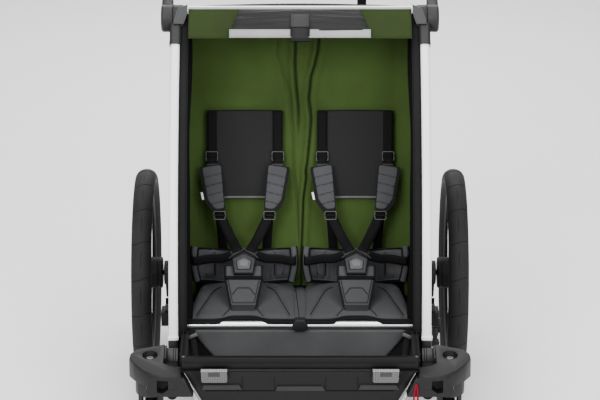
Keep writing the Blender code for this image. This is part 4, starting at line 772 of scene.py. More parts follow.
def joint_sleeves():
    """Dark sleeves that the posts' tops plug into, with a lip round their lower ends."""
    def sleeve(label, name, line, width, thickness):
        strap(f"joint_{label}_{name}", line, width, "black_plastic", "front_hoop", thickness=thickness,
              steps=1)

    for name, side in SIDES.items():
        x = side * POST_PLANE
        sleeve("sleeve_front", name, post_line(x, 0.8570, 0.9100, 0.0102), 0.0252, 0.0192)
        sleeve("sleeve_rear", name, post_line(x, 0.8800, 0.9100, -0.0090), 0.0252, 0.0192)
        sleeve("lip", name, post_line(x, 0.8570, 0.8595, 0.0108, 3), 0.0264, 0.0200)


def shoulder_brackets():
    """Metal-grey brackets that lap over the shoulder joints' front, with a pale edge."""
    right = ((0.2563, 0.9527), (0.2710, 0.9473), (0.2796, 0.9395), (0.2885, 0.9131), (0.2905, 0.9080),
             (0.2664, 0.9067), (0.2587, 0.9285))
    y = TOP_JOINT[0] - 0.0330
    for name, side in SIDES.items():
        outline = mirrored(right, side)
        plate(f"shoulder_bracket_{name}", outline, 0.0040, lambda a, b, out: spot(a, y - out, b),
              "bracket_grey", "front_hoop", 0.0012)
        edge = [spot(x, y - 0.0040, z) for x, z in outline[:4]]
        bar(f"bracket_edge_{name}", smooth_line(edge, 4), 0.0010, "grey_piping", "front_hoop")


def foot_collars():
    """Stepped rings on the feet's discs at the folding pins."""
    inner, outer, pitch = 0.2750, 0.2976, 0.0054
    step = ((0.0214, 0.0), (0.0232, 0.0008), (0.0232, 0.0036), (0.0214, 0.0044))
    rings = [(radius, inner + 0.0010 + pitch * i + along) for i in range(4) for radius, along in step]
    profile = [(0.0201, inner), *rings, (0.0201, outer), (0.0190, outer), (0.0190, inner)]
    for name, side in SIDES.items():
        turned(f"foot_collar_{name}", ring_profile(facing(profile, side)), spot(0, *FOLD_PIVOT), "X",
               "collar_grey", "front_hoop", 48, 30)


def pod_saddles():
    """Thin shelves that carry the pods' tops inwards to the rails, above the forks' crowns."""
    shelf = ((0.2990, -0.5300), (0.3085, -0.5300), (0.3085, -0.4580), (0.2990, -0.4580))
    for name, side in SIDES.items():
        plate(f"pod_saddle_{name}", mirrored(shelf, side), 0.0034, lambda a, b, out: spot(a, b, 0.2508 + out),
              "pod_plastic", "base", 0.0008)


def pin_bosses():
    """Ribbed bosses of the pods, standing before the folding pins."""
    y, z, radius = -0.4590, 0.2195, 0.0295
    inner = 0.2747

    def arc(grow, low, high, steps):
        turns = [math.radians(low + (high - low) * i / steps) for i in range(steps + 1)]
        reach = radius + grow
        return [(y + reach * math.cos(turn), z + reach * math.sin(turn)) for turn in turns]

    for name, side in SIDES.items():
        plate(f"pin_boss_{name}", arc(0.0, 93, 267, 24), 0.0300,
              lambda a, b, out: spot(side * (inner + out), a, b), "collar_grey", "base", 0.0014)
        ribs = [[spot(side * x, a, b) for a, b in arc(0.0001, 96, 264, 20)] for x in (0.2795, 0.2845, 0.2985)]
        bars(f"pin_boss_ribs_{name}", ribs, 0.0008, "black_piping", "base")
        end = post_line(side * 0.2866, 0.2565, 0.2645, 0.0, 4)
        strap(f"post_end_{name}", end, 0.0237, "white_paint", "front_hoop", thickness=0.0386, steps=1)


BRAKE_OUTLINES = {
    "receiver_tail": ((0.3172, 0.2280), (0.3246, 0.2280), (0.3232, 0.1930), (0.3184, 0.1911)),
    "brake_stub": ((0.3184, 0.1860), (0.3256, 0.1860), (0.3256, 0.1716), (0.3184, 0.1716)),
    "brake_collar": ((0.3190, 0.1695), (0.3272, 0.1695), (0.3286, 0.1600), (0.3286, 0.1552),
                     (0.3190, 0.1552)),
}


def brake_details():
    """The receivers' tails and the small stubs over the hanging housings."""
    def upright(a, b, out):
        return spot(a, -0.0060 - out, b)

    for name, side in SIDES.items():
        for part, depth, finish, rounding in (("receiver_tail", 0.0100, "black_plastic", 0.0010),
                                              ("brake_stub", 0.0070, "black_piping", 0.0008),
                                              ("brake_collar", 0.0100, "bracket_grey", 0.0014)):
            outline = mirrored(BRAKE_OUTLINES[part], side)
            plate(f"{part}_{name}", outline, depth, upright, finish, "base", rounding)


def fitting_caps():
    """Grey caps over the shoulder joints' inner faces, and the screws in the pods' recesses."""
    cap = ((0.0001, 0.0045), (0.0120, 0.0040), (0.0165, 0.0022), (0.0180, 0.0), (0.0180, -0.0030))
    screw = ((0.0001, 0.0022), (0.0028, 0.0022), (0.0032, 0.0042), (0.0072, 0.0040), (0.0078, 0.0030),
             (0.0078, 0.0004))
    for name, side in SIDES.items():
        turned(f"shoulder_cap_{name}", [(r, -side * (a - 0.2652)) for r, a in cap], spot(0, *TOP_JOINT), "X",
               "grey_plastic", "front_hoop", 32)
        turned(f"pod_screw_{name}", [(r, RECESS_FLOOR + a) for r, a in screw],
               spot(side * SWIVEL[0], SWIVEL[1], 0), "Z", "slider_grey", "base", 24)


# Wheels


TREAD = ((0.0, 0.0), (0.0040, 0.0), (0.0085, 0.0008), (0.0135, 0.0030), (TYRE_HALF_WIDTH - 0.0042, 0.0070),
         (TYRE_HALF_WIDTH, 0.0135))


def tread_drop(across):
    """How far the tread lies below the tyre's full radius at a distance from its middle."""
    for (near, low), (far, high) in zip(TREAD, TREAD[1:]):
        if across <= far:
            return low + (high - low) * (across - near) / (far - near)
    return TREAD[-1][1]


def on_wheel(x, angle, radius):
    """A place on a rear wheel, at an angle about the axle."""
    return spot(x, radius * math.cos(angle), WHEEL_RADIUS + radius * math.sin(angle))


def on_tread(side, turn, across):
    """A place on a rear tyre's tread, at a turn counted in marks."""
    radius = WHEEL_RADIUS - tread_drop(abs(across)) - 0.0002
    return on_wheel(side * WHEEL_PLANE + across, math.tau * turn / TREAD_MARKS, radius)


def tyres():
    """Rear tyres with a slick tread, with thin black bars laid on it along its curved cuts and middle slots
    as painted shade in place of grooves.
    """
    half = TYRE_HALF_WIDTH
    tread = [(WHEEL_RADIUS - low, across) for across, low in reversed(TREAD) if across]
    wall = [(BEAD_RADIUS, 0.0128), (BEAD_RADIUS + 0.007, 0.0170), (BEAD_RADIUS + 0.016, half - 0.0012),
            (BEAD_RADIUS + 0.024, half + 0.0001)]
    near = wall + tread
    profile = ring_profile(near + facing(reversed(near), -1))
    bow = [(0.12 + 0.05 * math.cos(math.pi * k / 8), -0.0190 + 0.0380 * k / 8) for k in range(9)]
    for name, side in SIDES.items():
        wheel = f"wheel_{name}"
        made = turned(f"tyre_tread_{name}", profile, spot(side * WHEEL_PLANE, 0, WHEEL_RADIUS), "X",
                      "tyre_rubber", wheel, 144, 30)
        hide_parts(f"tyre_{name}")
        # The cuts and slots are dark bars on the tread: painted shade where grooves would be.
        cuts = [[on_tread(side, i + turn, across) for turn, across in bow] for i in range(TREAD_MARKS)]
        bars(f"tread_cuts_{name}", cuts, 0.0009, "black_piping", wheel)
        slots = [[on_tread(side, i + 0.38 + 0.10 * k, 0) for k in range(5)] for i in range(TREAD_MARKS)]
        bars(f"tread_slots_{name}", slots, 0.0008, "black_piping", wheel)


def spoke_rods(name, side):
    """Crossed spokes with their nipples, from both flanges of the hub to the rim."""
    bm = bmesh.new()
    rim_radius = BEAD_RADIUS - 0.0114
    for i in range(SPOKE_COUNT):
        inward = i % 2
        angle = math.tau * i / SPOKE_COUNT
        hub_angle = angle + math.radians(38) * (1 if inward else -1)
        hub_radius = 0.0325 if inward else 0.0200
        hub_x = WHEEL_PLANE + (-0.0115 if inward else 0.0150)
        rim_x = WHEEL_PLANE + (-0.003 if inward else 0.003)
        foot = on_wheel(side * hub_x, hub_angle, hub_radius)
        head = on_wheel(side * rim_x, angle, rim_radius)
        run = head - foot
        for start, end, radius in ((0.0, 1.0, 0.0010), (0.93, 1.0, 0.0019)):
            turn = run.to_track_quat("Z", "Y").to_matrix().to_4x4()
            rod = bmesh.ops.create_cone(bm, cap_ends=True, segments=8, radius1=radius, radius2=radius,
                                        depth=run.length * (end - start))["verts"]
            bmesh.ops.transform(bm, matrix=turn, verts=rod)
            bmesh.ops.translate(bm, verts=rod, vec=foot + run * (start + end) / 2)
    return close_mesh(f"spokes_{name}", bm, "steel", f"wheel_{name}")


def wheels():
    """Rear rims, hubs with their brake drums, spokes, the lines on the tyres' walls, and valves."""
    rim = [(BEAD_RADIUS + rise, along) for rise, along in (
        (-0.0004, -0.0125), (0.0010, -0.0108), (-0.0004, -0.0100), (-0.0004, 0.0100), (0.0010, 0.0108),
        (-0.0004, 0.0125), (-0.0060, 0.0125), (-0.0120, 0.0085), (-0.0144, 0.0040), (-0.0144, -0.0040),
        (-0.0120, -0.0085), (-0.0060, -0.0125))]
    drum_start = WHEEL_PLANE - 0.0255 - 0.0135
    hub_end = WHEEL_PLANE + 0.0255
    drum = [(radius, drum_start + along) for radius, along in (
        (0.0001, -0.026), (0.0050, -0.026), (0.006, -0.025), (0.006, 0.0), (0.0355, 0.0), (0.0375, 0.002),
        (0.0375, 0.008), (0.0362, 0.009), (0.0362, 0.011), (0.0375, 0.012), (0.0375, 0.028), (0.0345, 0.030),
        (0.016, 0.033))]
    flange = [(radius, WHEEL_PLANE + along) for radius, along in (
        (0.0145, 0.004), (0.016, 0.012), (0.024, 0.0135), (0.0245, 0.0150), (0.024, 0.0165), (0.016, 0.018))]
    end = [(radius, hub_end - depth) for radius, depth in (
        (0.0155, 0.0012), (0.0140, 0.0), (0.0094, 0.0), (0.0094, 0.0075), (0.0001, 0.0075))]
    valve = ((0.0001, 0.034), (0.0032, 0.034), (0.0036, 0.024), (0.0026, 0.022), (0.0026, 0.0), (0.0001, 0.0))
    line_radius = 0.2215
    for name, side in SIDES.items():
        wheel = f"wheel_{name}"
        centre = spot(side * WHEEL_PLANE, 0, WHEEL_RADIUS)
        hoop = turned(f"rim_{name}", ring_profile(rim), centre, "X", "black_paint", wheel, 96)
        turned(f"hub_{name}", facing(drum + flange + end, side), spot(0, 0, WHEEL_RADIUS), "X", "black_paint",
               wheel, 40)
        spoke_rods(name, side)
        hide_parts(f"spoked_wheel_{name}")
        for number, lip in enumerate((1, -1)):
            x = side * WHEEL_PLANE + lip * (TYRE_HALF_WIDTH - 0.0012)
            ring = [on_wheel(x, math.tau * i / 90, line_radius) for i in range(90)]
            bar(f"wall_line_{number}_{name}", ring, 0.0008, "collar_grey", wheel, True)
        turned(f"valve_{name}", valve, centre + Vector((0, 0.012, 0.014 - BEAD_RADIUS)), "Z", "steel", wheel,
               16)


def casters():
    """The small wheels' tyres and the bolts through their forks."""
    radius, half = 0.080, 0.014
    near = [(radius - 0.020, 0.0115), (radius - 0.012, half - 0.0006), (radius - 0.0075, half - 0.0002),
            (radius - 0.0030, half - 0.0040), (radius - 0.0006, half - 0.0085), (radius, 0.0015)]
    profile = ring_profile(near + facing(reversed(near), -1))
    bolt = ((0.0001, 0.0298), (0.0030, 0.0298), (0.0058, 0.0290), (0.0062, 0.0270))
    for name, side in SIDES.items():
        centre = spot(side * SWIVEL[0], SWIVEL[1] + 0.030, radius)
        made = turned(f"caster_tread_{name}", profile, centre, "X", "tyre_rubber", f"caster_wheel_{name}", 72)
        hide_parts(f"caster_tyre_{name}")
        for hand in (-1, 1):
            end = "outer" if hand == side else "inner"
            turned(f"caster_bolt_{end}_{name}", facing(bolt, hand), centre, "X", "steel",
                   f"caster_fork_{name}", 20)


# Cabin


FOLD_LINES = {
    "soft": ((0.8266, -0.0488), (0.7939, -0.0518), (0.7687, -0.0424), (0.7288, -0.0330), (0.7035, -0.0243),
             (0.6389, -0.0196), (0.6109, -0.0158), (0.5274, -0.0132), (0.4875, -0.0090), (0.4288, -0.0057),
             (0.3874, -0.0047), (0.3216, -0.0024)),
    "middle": ((0.8266, -0.0113), (0.8013, -0.0101), (0.7777, -0.0120), (0.7292, -0.0092), (0.7021, -0.0064),
               (0.6660, -0.0028), (0.6208, -0.0024)),
    "sharp": ((0.8266, 0.0447), (0.8013, 0.0429), (0.7687, 0.0353), (0.7396, 0.0259), (0.7143, 0.0240),
              (0.6945, 0.0212), (0.6653, 0.0250), (0.6473, 0.0269), (0.6109, 0.0241), (0.5654, 0.0194),
              (0.5441, 0.0172), (0.5274, 0.0139), (0.5156, 0.0162), (0.4875, 0.0118), (0.4646, 0.0085),
              (0.4120, 0.0064), (0.3659, 0.0043), (0.3216, 0.0024)),
}


def along_line(points, z):
    """X of a hanging line at a height, straight between its points."""
    if z >= points[0][0]:
        return points[0][1]
    for (high, x_high), (low, x_low) in zip(points, points[1:]):
        if z >= low:
            return x_low + (x_high - x_low) * (z - low) / (high - low)
    return points[-1][1]


def crease(distance, depth, width):
    """A narrow valley with a fuller ridge on its left, as where slack cloth laps over itself."""
    ridge = 0.70 * depth * math.exp(-((distance + 3.0 * width) / (3.0 * width)) ** 2)
    far_ridge = 0.45 * depth * math.exp(-((distance - 4.2 * width) / (4.0 * width)) ** 2)
    return ridge + far_ridge - depth * bump_shape(distance, width)


def fold_forward(x, z):
    """How far the gathered back stands forward: three hanging creases and a slow drape."""
    rise = min(max((z - BACK_FOOT[1]) / (0.87 - BACK_FOOT[1]), 0.0), 1.0)
    fade = min(1.0, max(0.0, (z - 0.60) / 0.08))
    depth = 0.0065 * crease(x - along_line(FOLD_LINES["soft"], z), 0.6, 0.0030)
    depth += 0.0125 * fade * crease(x - along_line(FOLD_LINES["middle"], z), 1.0, 0.0019 + 0.0012 * rise)
    depth += 0.0125 * crease(x - along_line(FOLD_LINES["sharp"], z), 1.0, 0.0019 + 0.0010 * rise)
    swell = bump_shape(abs(x) - SEAT_CENTRE, 0.09)
    drape = 0.0012 * math.sin(38 * x + 6 * z) * rise + 0.0010 * math.sin(71 * x - 9 * z + 1.3) * rise
    return depth + 0.004 * swell - 0.004 * rise + drape


def back_curtain():
    """The gathered cloth behind the seats, hanging in three creases."""
    top = 0.893

    def place(s, t):
        share = 2 * s - 1
        x = (CABIN_HALF - 0.0018) * (0.42 * share + 0.58 * share ** 3)
        z = SLING_TOP - 0.004 + (top - SLING_TOP + 0.004) * t
        corner = 0.010 * max(0.0, abs(share) - 0.93) / 0.07
        hung = on_back(x, z, fold_forward(x, z) + corner)
        hung.y = min(hung.y, spot(0, rear_y(z) - 0.0060, 0).y)
        return hung

    made = cloth("back_curtain", 300, 120, place, "green_fabric", "base", 0.0012, "flat")
    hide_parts("cabin_shell")


def back_foot():
    """The dark lower edge of the back, which climbs at the corners behind the hip wings."""
    def place(s, t):
        x = (CABIN_HALF - 0.0035) * (2 * s - 1)
        climb = min(1.0, max(0.0, (abs(x) - 0.212) / 0.032)) ** 1.2
        z = SLING_TOP - 0.001 + (0.0250 + 0.086 * climb) * t
        return on_back(x, z, 0.0065 + fold_forward(x, z) * 0.5)

    cloth("back_foot", 80, 10, place, "black_webbing", "base", 0.0010, "flat")


def rear_y(height):
    """Y of the rear hoop's rear side at a height."""
    slope = (REAR_TOP[0] - REAR_PIVOT[0]) / (REAR_TOP[1] - REAR_PIVOT[1])
    return REAR_PIVOT[0] + (height - REAR_PIVOT[1]) * slope + 0.0165


def shell_rear(z):
    """Y of the cabin's rear face, which flares out to the roof's edge."""
    return rear_y(z) + 0.026 * max(0.0, (z - 0.798) / 0.092) ** 1.5


def cabin_sides():
    """Inner and outer walls, a slack black strip inside the opening that is painted shade where the inner
    wall meets the binding, the dark lower sides and the rail skirts.
    """
    def wall(side, out, front_gap, back):
        def place(s, t):
            z = OPENING_LOW + (0.929 - 0.040 * s - OPENING_LOW) * t
            front = post_y(z) + front_gap
            rear = back(z)
            billow = 0.0016 * math.sin(math.pi * s) * math.sin(math.pi * t)
            return spot(side * (CABIN_HALF + out + billow), front + (rear - front) * s, z)
        return place

    # A black strip just inside the binding: painted shade where the inner wall meets it.
    def shadow_strip(side):
        def place(s, t):
            z = OPENING_LOW + (OPENING_HIGH - OPENING_LOW) * t
            slack = 0.5 + 0.3 * math.sin(7.5 * t + 0.8) + 0.2 * math.sin(17 * t)
            bulge = (0.0070 + 0.0105 * slack * (1 - 0.4 * t)) * s
            return spot(side * (CABIN_HALF - 0.0026 - bulge), post_y(z) + 0.001 + 0.050 * s, z)
        return place

    def lower_side(side):
        def place(s, t):
            front = post_y(OPENING_LOW + 0.155 * t) + 0.006
            crest = OPENING_LOW + (0.166 + 0.020 * math.sin(math.pi * s) - 0.012 * s) * t
            rear = back_y(crest) - 0.002
            return spot(side * (CABIN_HALF - 0.0042), front + (rear - front) * s, crest)
        return place

    def skirt(side):
        return lambda s, t: spot(side * (CABIN_HALF - 0.0010), -0.590 + 0.470 * s, 0.196 + 0.084 * t)

    for name, side in SIDES.items():
        cloth(f"inner_wall_{name}", 24, 30, wall(side, -0.0016, 0.004, back_y), "green_fabric", "base",
              0.001, "fold")
        cloth(f"outer_wall_{name}", 28, 30, wall(side, 0.0004, 0.002, shell_rear), "green_fabric", "base",
              0.001, "fold")
        cloth(f"opening_shadow_strip_{name}", 8, 60, shadow_strip(side), "black_webbing", "base", 0.0008, "low")
        cloth(f"seat_side_{name}", 20, 12, lower_side(side), "dark_fabric", "base", 0.0008, "fold")
        cloth(f"rail_skirt_{name}", 30, 4, skirt(side), "dark_fabric", "base", 0.0010)
        side_window(name, side)


def side_window(name, side):
    """A tinted window let into the outer wall, with a dark surround and piping."""
    def frame_place(inset):
        def place(s, t):
            low, high = 0.400 + inset, 0.880 - inset
            z = low + (high - low) * t
            front, rear = post_y(z) + 0.028 + inset, shell_rear(z) - 0.024 - inset
            return spot(side * (CABIN_HALF + 0.0022 + inset * 0.03), front + (rear - front) * s, z)
        return place

    cloth(f"window_surround_{name}", 20, 20, frame_place(0.0), "dark_fabric", "base",
          0.0010, "fold")
    inner = frame_place(0.026)
    bm = cloth_grid(16, 16, lambda s, t: inner(s, t) + Vector((side * 0.0008, 0, 0)))[0]
    film = close_mesh(f"window_film_{name}", bm, "window_film", "base", 60, outward=False)
    crumple(thickened(film, 0.0006, -1))
    for inset, radius, finish in ((0.0, 0.0016, "grey_piping"), (0.026, 0.0018, "black_piping")):
        place = frame_place(inset)
        edge = [place(i / 12, 0) for i in range(12)] + [place(1, i / 12) for i in range(12)]
        edge += [place(1 - i / 12, 1) for i in range(12)] + [place(0, 1 - i / 12) for i in range(12)]
        crumple(bar(f"window_edge_{round(inset * 1000)}_{name}", edge, radius, finish, "base", True))


def seat_sling():
    """The cloth slung under the seats."""
    def place(s, t):
        sag = 0.004 * math.sin(math.pi * t) * abs(math.sin(math.tau * s))
        return spot((CABIN_HALF - 0.002) * (2 * s - 1), -0.376 + 0.254 * t, SLING_TOP - 0.0016 - sag)

    cloth("seat_sling", 40, 16, place, "dark_fabric", "base", 0.0016)


def boot():
    """Floor, rear panel, netted vent and binding of the space behind the seats."""
    inner = CABIN_HALF - 0.0012
    low, vent_low, vent_high, high = 0.268, 0.640, 0.798, 0.889

    def floor_place(s, t):
        sag = 0.003 * math.sin(math.pi * t)
        return spot((inner - 0.0295) * (2 * s - 1), -0.122 + 0.265 * t, 0.2715 - sag)

    def panel(low, high, half, out=0.0):
        def place(s, t):
            z = low + (high - low) * t
            belly = 0.003 * math.sin(math.pi * s) * math.sin(math.pi * t)
            return spot(half * (2 * s - 1), shell_rear(z) + out - belly, z)
        return place

    def edge(z, half, out):
        place = panel(z, z + 0.1, half, out)
        return [place(i / 20, 0) for i in range(21)]

    cloth("boot_floor", 24, 12, floor_place, "dark_fabric", "base", 0.0016)
    cloth("rear_panel", 40, 30, panel(low, vent_low, inner), "green_fabric", "base", 0.0014,
          "fold")
    cloth("rear_top_panel", 40, 8, panel(vent_high, high, inner), "green_fabric", "base",
          0.0014, "fold")
    netting_place = panel(vent_low - 0.008, vent_high + 0.008, inner - 0.004, 0.0012)
    cloth("rear_vent", 40, 12, netting_place, "mesh_cloth", "base", 0.0010, "fold")
    for name, z in (("low", vent_low), ("high", vent_high)):
        crumple(bar(f"vent_binding_{name}", edge(z, inner - 0.003, 0.0022), 0.0022, "black_piping", "base"))
    bar("rear_hem", edge(low + 0.004, inner - 0.002, 0.0015), 0.0024, "black_piping", "base")


def roof():
    """The roof between the hoops, with its rear seam."""
    front_y, front_z = TOP_TUBE[0] + 0.0079, TOP_TUBE[1] + 0.0059

    def place(s, t):
        y = front_y + (ROOF_REAR[0] + 0.004 - front_y) * t
        z = front_z + (ROOF_REAR[1] + 0.003 - front_z) * t
        crown = 0.007 * math.sin(math.pi * s) * math.sin(math.pi * t)
        edge = -0.0040 * abs(2 * s - 1) ** 16
        corner = 0.0140 * t * abs(2 * s - 1) ** 12
        return spot((CABIN_HALF + 0.0006) * (2 * s - 1), y - corner, z + crown + edge + 0.0015)

    made = cloth("roof_cloth", 50, 16, place, "dark_fabric", "front_hoop", 0.0016)
    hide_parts("roof_panel")
    seam = [place(i / 24, 0.93) + Vector((0, 0, 0.001)) for i in range(1, 24)]
    bar("roof_seam", seam, 0.0011, "black_piping", "front_hoop")


def header():
    """The band across the opening's top, in a darker copy of the green canvas as painted shade, its hem and
    the aluminium strip along its upper edge.
    """
    half = 0.2550

    def place(s, t):
        x = half * (2 * s - 1)
        belly = 0.004 * math.sin(math.pi * t) * math.sin(math.pi * s) ** 0.5
        pull = 0.0012 * math.sin(40 * s + 5 * t) * math.sin(math.pi * t)
        return on_header(x, t, 0.0015 + belly + pull)

    made = cloth("header_cloth", 80, 14, place, "header_green_shaded", "front_hoop",
                 0.0016)
    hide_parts("header_band")
    hem = [on_header(half * (i / 20 * 2 - 1), 0.0, 0.0018) for i in range(21)]
    bar("header_hem", hem, 0.0016, "header_green_shaded", "front_hoop")

    def strip(a, b, out):
        return on_header(a, 1.0 + b / HEADER_LENGTH, 0.0030 + out)

    outline = [(-half, -0.0045), (half, -0.0045), (half, 0.0008), (-half, 0.0008)]
    plate("header_strip", outline, 0.0012, strip, "silver_tape", "front_hoop")


def cover_roll():
    """The weather cover: rolled, wrinkled, taped along its lower edge and strapped in the middle."""
    def swell(s, t):
        roll = math.sin(math.pi * (0.04 + 0.92 * t)) ** 0.5
        ends = min(1.0, 14 * s + 0.35, 14 * (1 - s) + 0.35) ** 0.6
        wrinkles = 1 + 0.08 * math.sin(15 * t + 1.4 * math.sin(5.2 * s)) * min(1.0, 5 * t)
        wrinkles += 0.05 * math.sin(31 * t + 2.1 * math.sin(7.3 * s + 1)) * min(1.0, 4 * max(0.0, t - 0.15))
        wrinkles += 0.03 * math.sin(57 * t + 2.6 * math.sin(11 * s + 2)) * min(1.0, 4 * max(0.0, t - 0.2))
        return roll * ends * wrinkles

    def surface(front):
        def place(s, t):
            half = 0.161 - 0.0224 * t
            x = half * (2 * s - 1)
            waist = 1 - 0.30 * bump_shape(x, 0.020)
            out = 0.0070 + (0.0125 * swell(s, t) * waist if front else 0)
            return on_header(x, 0.005 + 0.875 * t, out)
        return place

    bm = slab(120, 40, surface(True), surface(False))
    made = close_mesh("cover_roll", bm, "cover_cloth", "front_hoop", 70)
    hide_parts("rolled_cover")

    def run(low, high, shift, out):
        return [on_header(low + (high - low) * i / 24, 0.045 + shift / HEADER_LENGTH, out) for i in range(25)]

    for name, low, high in (("left", -0.1610, -0.0190), ("right", 0.0190, 0.1610)):
        strap(f"cover_tape_{name}", run(low, high, 0, 0.0142), 0.0205, "silver_tape", "front_hoop",
              (0, 0.62, 0.79), 0.0010, steps=1)
        for label, shift in (("high", 0.0098), ("low", -0.0098)):
            bead = run(low, high, shift, 0.0144)
            bar(f"cover_bead_{label}_{name}", bead, 0.0009, "silver_tape", "front_hoop")
    low_tab = [on_header(0, share, out) for share, out in
               ((-0.12, 0.0130), (0.02, 0.0170), (0.14, 0.0200), (0.26, 0.0215))]
    strap("cover_tab_lower", low_tab, 0.0440, "cover_cloth", "front_hoop", thickness=0.0014)
    high_tab = [on_header(0, share, out) for share, out in
                ((0.20, 0.0232), (0.36, 0.0236), (0.52, 0.0220), (0.66, 0.0180))]
    strap("cover_tab_upper", high_tab, 0.0425, "tab_cloth", "front_hoop", thickness=0.0014)
    foot = [(-0.0222, -0.0170), (0.0222, -0.0170), (0.0222, -0.0080), (-0.0222, -0.0080)]

    def tab_foot(a, b, out):
        return on_header(a, b / HEADER_LENGTH, 0.0100 + out)

    plate("cover_tab_foot", foot, 0.004, tab_foot, "black_piping", "front_hoop", 0.0010)


def edge_bindings():
    """Tape and two cords along the posts' inner sides, round the opening."""
    for name, side in SIDES.items():
        middle = (0.2560 + POST_PLANE - POST_WIDTH / 2) / 2
        face = post_line(side * middle, OPENING_LOW, OPENING_HIGH, 0.0100)
        made = strap(f"edge_tape_{name}", face, 0.0185, "dark_fabric", "base", thickness=0.0022, joint="low",
                     steps=1)
        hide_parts(f"edge_binding_{name}")
        for label, x, forward in (("inner", 0.2562, 0.0108), ("outer", 0.2738, 0.0112)):
            line = post_line(side * x, OPENING_LOW, OPENING_HIGH, forward)
            crumple(bar(f"edge_cord_{label}_{name}", line, 0.0017, "black_piping", "base"), "low")


# Seats


SEAT_SEAMS = {
    "flank": ((-0.170, 0.026), (-0.1841, 0.0537), (-0.2091, 0.0710), (-0.2758, 0.0881), (-0.3543, 0.1065),
              (-0.384, 0.112)),
    "inner": ((-0.300, 0.018), (-0.3255, 0.0321), (-0.3590, 0.0458), (-0.384, 0.054)),
}


def seam_at(points, y):
    """How far from a seat's middle a seam runs at a place from back to front, or None beyond its ends."""
    if y > points[0][0] or y < points[-1][0]:
        return None
    for (near, a), (far, b) in zip(points, points[1:]):
        if y >= far:
            return a + (b - a) * (y - near) / (far - near)
    return points[-1][1]


def seat_pads():
    """Seat cushions with their sewn seams, piped front edges and valances. Outside the scoops the black
    valance hangs in front of the bare tube, where it also stands in for the seats' shadow on it: painted
    shade.
    """
    bottom = SLING_TOP + 0.0006
    bow = 0.0175

    def spread(side, s, t, inset):
        """A place on a seat's plan: its outer side bows in to the back, its inner one runs straight."""
        share = 2 * s - 1
        corner = max(0.0, t - 0.80) / 0.20
        outer = SEAT_HALF_FRONT + 0.0085 - 0.0235 * t ** 1.5 - 0.0095 * corner ** 2
        inner = SEAT_CENTRE - 0.0008 - 0.0140 * corner ** 1.6
        half = outer if share * side > 0 else inner
        offset = (half - inset) * share
        scoop = bow * (1 - t) ** 5 / (1 + (offset / 0.040) ** 6)
        rear = 0.0060 * corner * share ** 4
        return offset, SEAT_FRONT + inset + scoop - rear + (SEAT_REAR - SEAT_FRONT - 2 * inset) * t

    def top(side):
        def place(s, t):
            offset, y = spread(side, s, t, 0.0025)
            edge = min(1.0, (1 - abs(2 * s - 1)) * 9 + 0.42) ** 0.5
            edge *= min(1.0, 8 * t + 0.45, 12 * (1 - t) + 0.40) ** 0.5
            return spot(side * SEAT_CENTRE + offset, y, bottom + 0.003 + 0.0350 * edge)
        return place

    def under(side):
        def place(s, t):
            offset, y = spread(side, s, t, 0.0030)
            return spot(side * SEAT_CENTRE + offset, y, bottom + 0.0012)
        return place

    def seam(side):
        def depth_at(co, normal):
            if normal.z < 0.2:
                return 0.0
            offset, y = abs(co.x - side * SEAT_CENTRE), co.y - AXLE_Y
            depth = 0.0
            for label, strength, width in (("flank", 1.0, 0.0060), ("inner", 0.7, 0.0048)):
                run = seam_at(SEAT_SEAMS[label], y)
                if run is not None:
                    depth += strength * bump_shape(offset - run, width)
            lip = bump_shape(y - SEAT_FRONT - 0.016, 0.0035) * (1 if offset > 0.055 else 0.0)
            return 0.0052 * depth + 0.0022 * lip
        return depth_at

    for name, side in SIDES.items():
        bm = slab(36, 34, top(side), under(side))
        made = stuffed(f"seat_cushion_{name}", bm, "seat_cloth_shaded", "base", 0.005, 0.0035)
        high = max(vert.co.z for vert in made.data.vertices)
        sew(made, seam(side), (0, 0, -1))
        excess = high - SEAT_TOP - 0.001
        if excess > 0:
            made.data.transform(squeeze(bottom, 1 - excess / (high - bottom)))
        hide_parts(f"seat_pad_{name}")
        drop = rest_on(made)
        for label, points in SEAT_SEAMS.items():
            for hand_name, hand in SIDES.items():
                line = smooth_line([spot(side * SEAT_CENTRE + hand * a, y, 0) for y, a in points[1:-1]], 6)
                line = [point for point in (drop(at) for at in line) if point]
                bar(f"seat_seam_{label}_{hand_name}_{name}", line, 0.0009, "seam_thread", "base")
        front_edge, valance = [], []
        for i in range(41):
            offset, y = spread(side, 0.015 + 0.97 * i / 40, 0.0, 0.0)
            x = side * SEAT_CENTRE + offset
            rise = (y - SEAT_FRONT) / bow
            scooped = rise ** 1.6
            front_edge.append(spot(x, y - 0.0020, 0.2868 + 0.0010 * rise))
            # Outside the scoops the valance hangs in front of the tube: partly a real valance, partly painted
            # shade of the seats' shadow on the tube.
            valance.append(spot(x, SEAT_FRONT - 0.0170 + 0.0240 * scooped, 0.2862 + 0.0012 * scooped))
        bar(f"seat_front_piping_{name}", front_edge, 0.0022, "seam_thread", "base")
        strap(f"seat_valance_and_shade_{name}", valance, 0.0092, "black_webbing", "base", (0, 0.62, 0.78), 0.0014,
              steps=1)


def seat_bridge():
    """The cloth that joins the two seats over the middle, and its seam."""
    def place(s, t):
        half = 0.0135 - 0.0035 * max(0.0, t - 0.75) / 0.25
        crown = 0.0016 * math.sin(math.pi * s)
        drop = 0.0060 * max(0.0, t - 0.85) / 0.15
        return spot(half * (2 * s - 1), -0.3825 + 0.2130 * t, 0.2830 + crown - drop)

    cloth("seat_bridge", 8, 40, place, "seat_cloth_shaded", "base", 0.0016)
    seam = side_line(1, ((-0.0100, -0.1980, 0.2843), (-0.0080, -0.2400, 0.2848), (-0.0048, -0.3000, 0.2852),
                         (-0.0018, -0.3700, 0.2853)))
    bar("seat_bridge_seam", smooth_line(seam, 5), 0.0008, "seam_thread", "base")


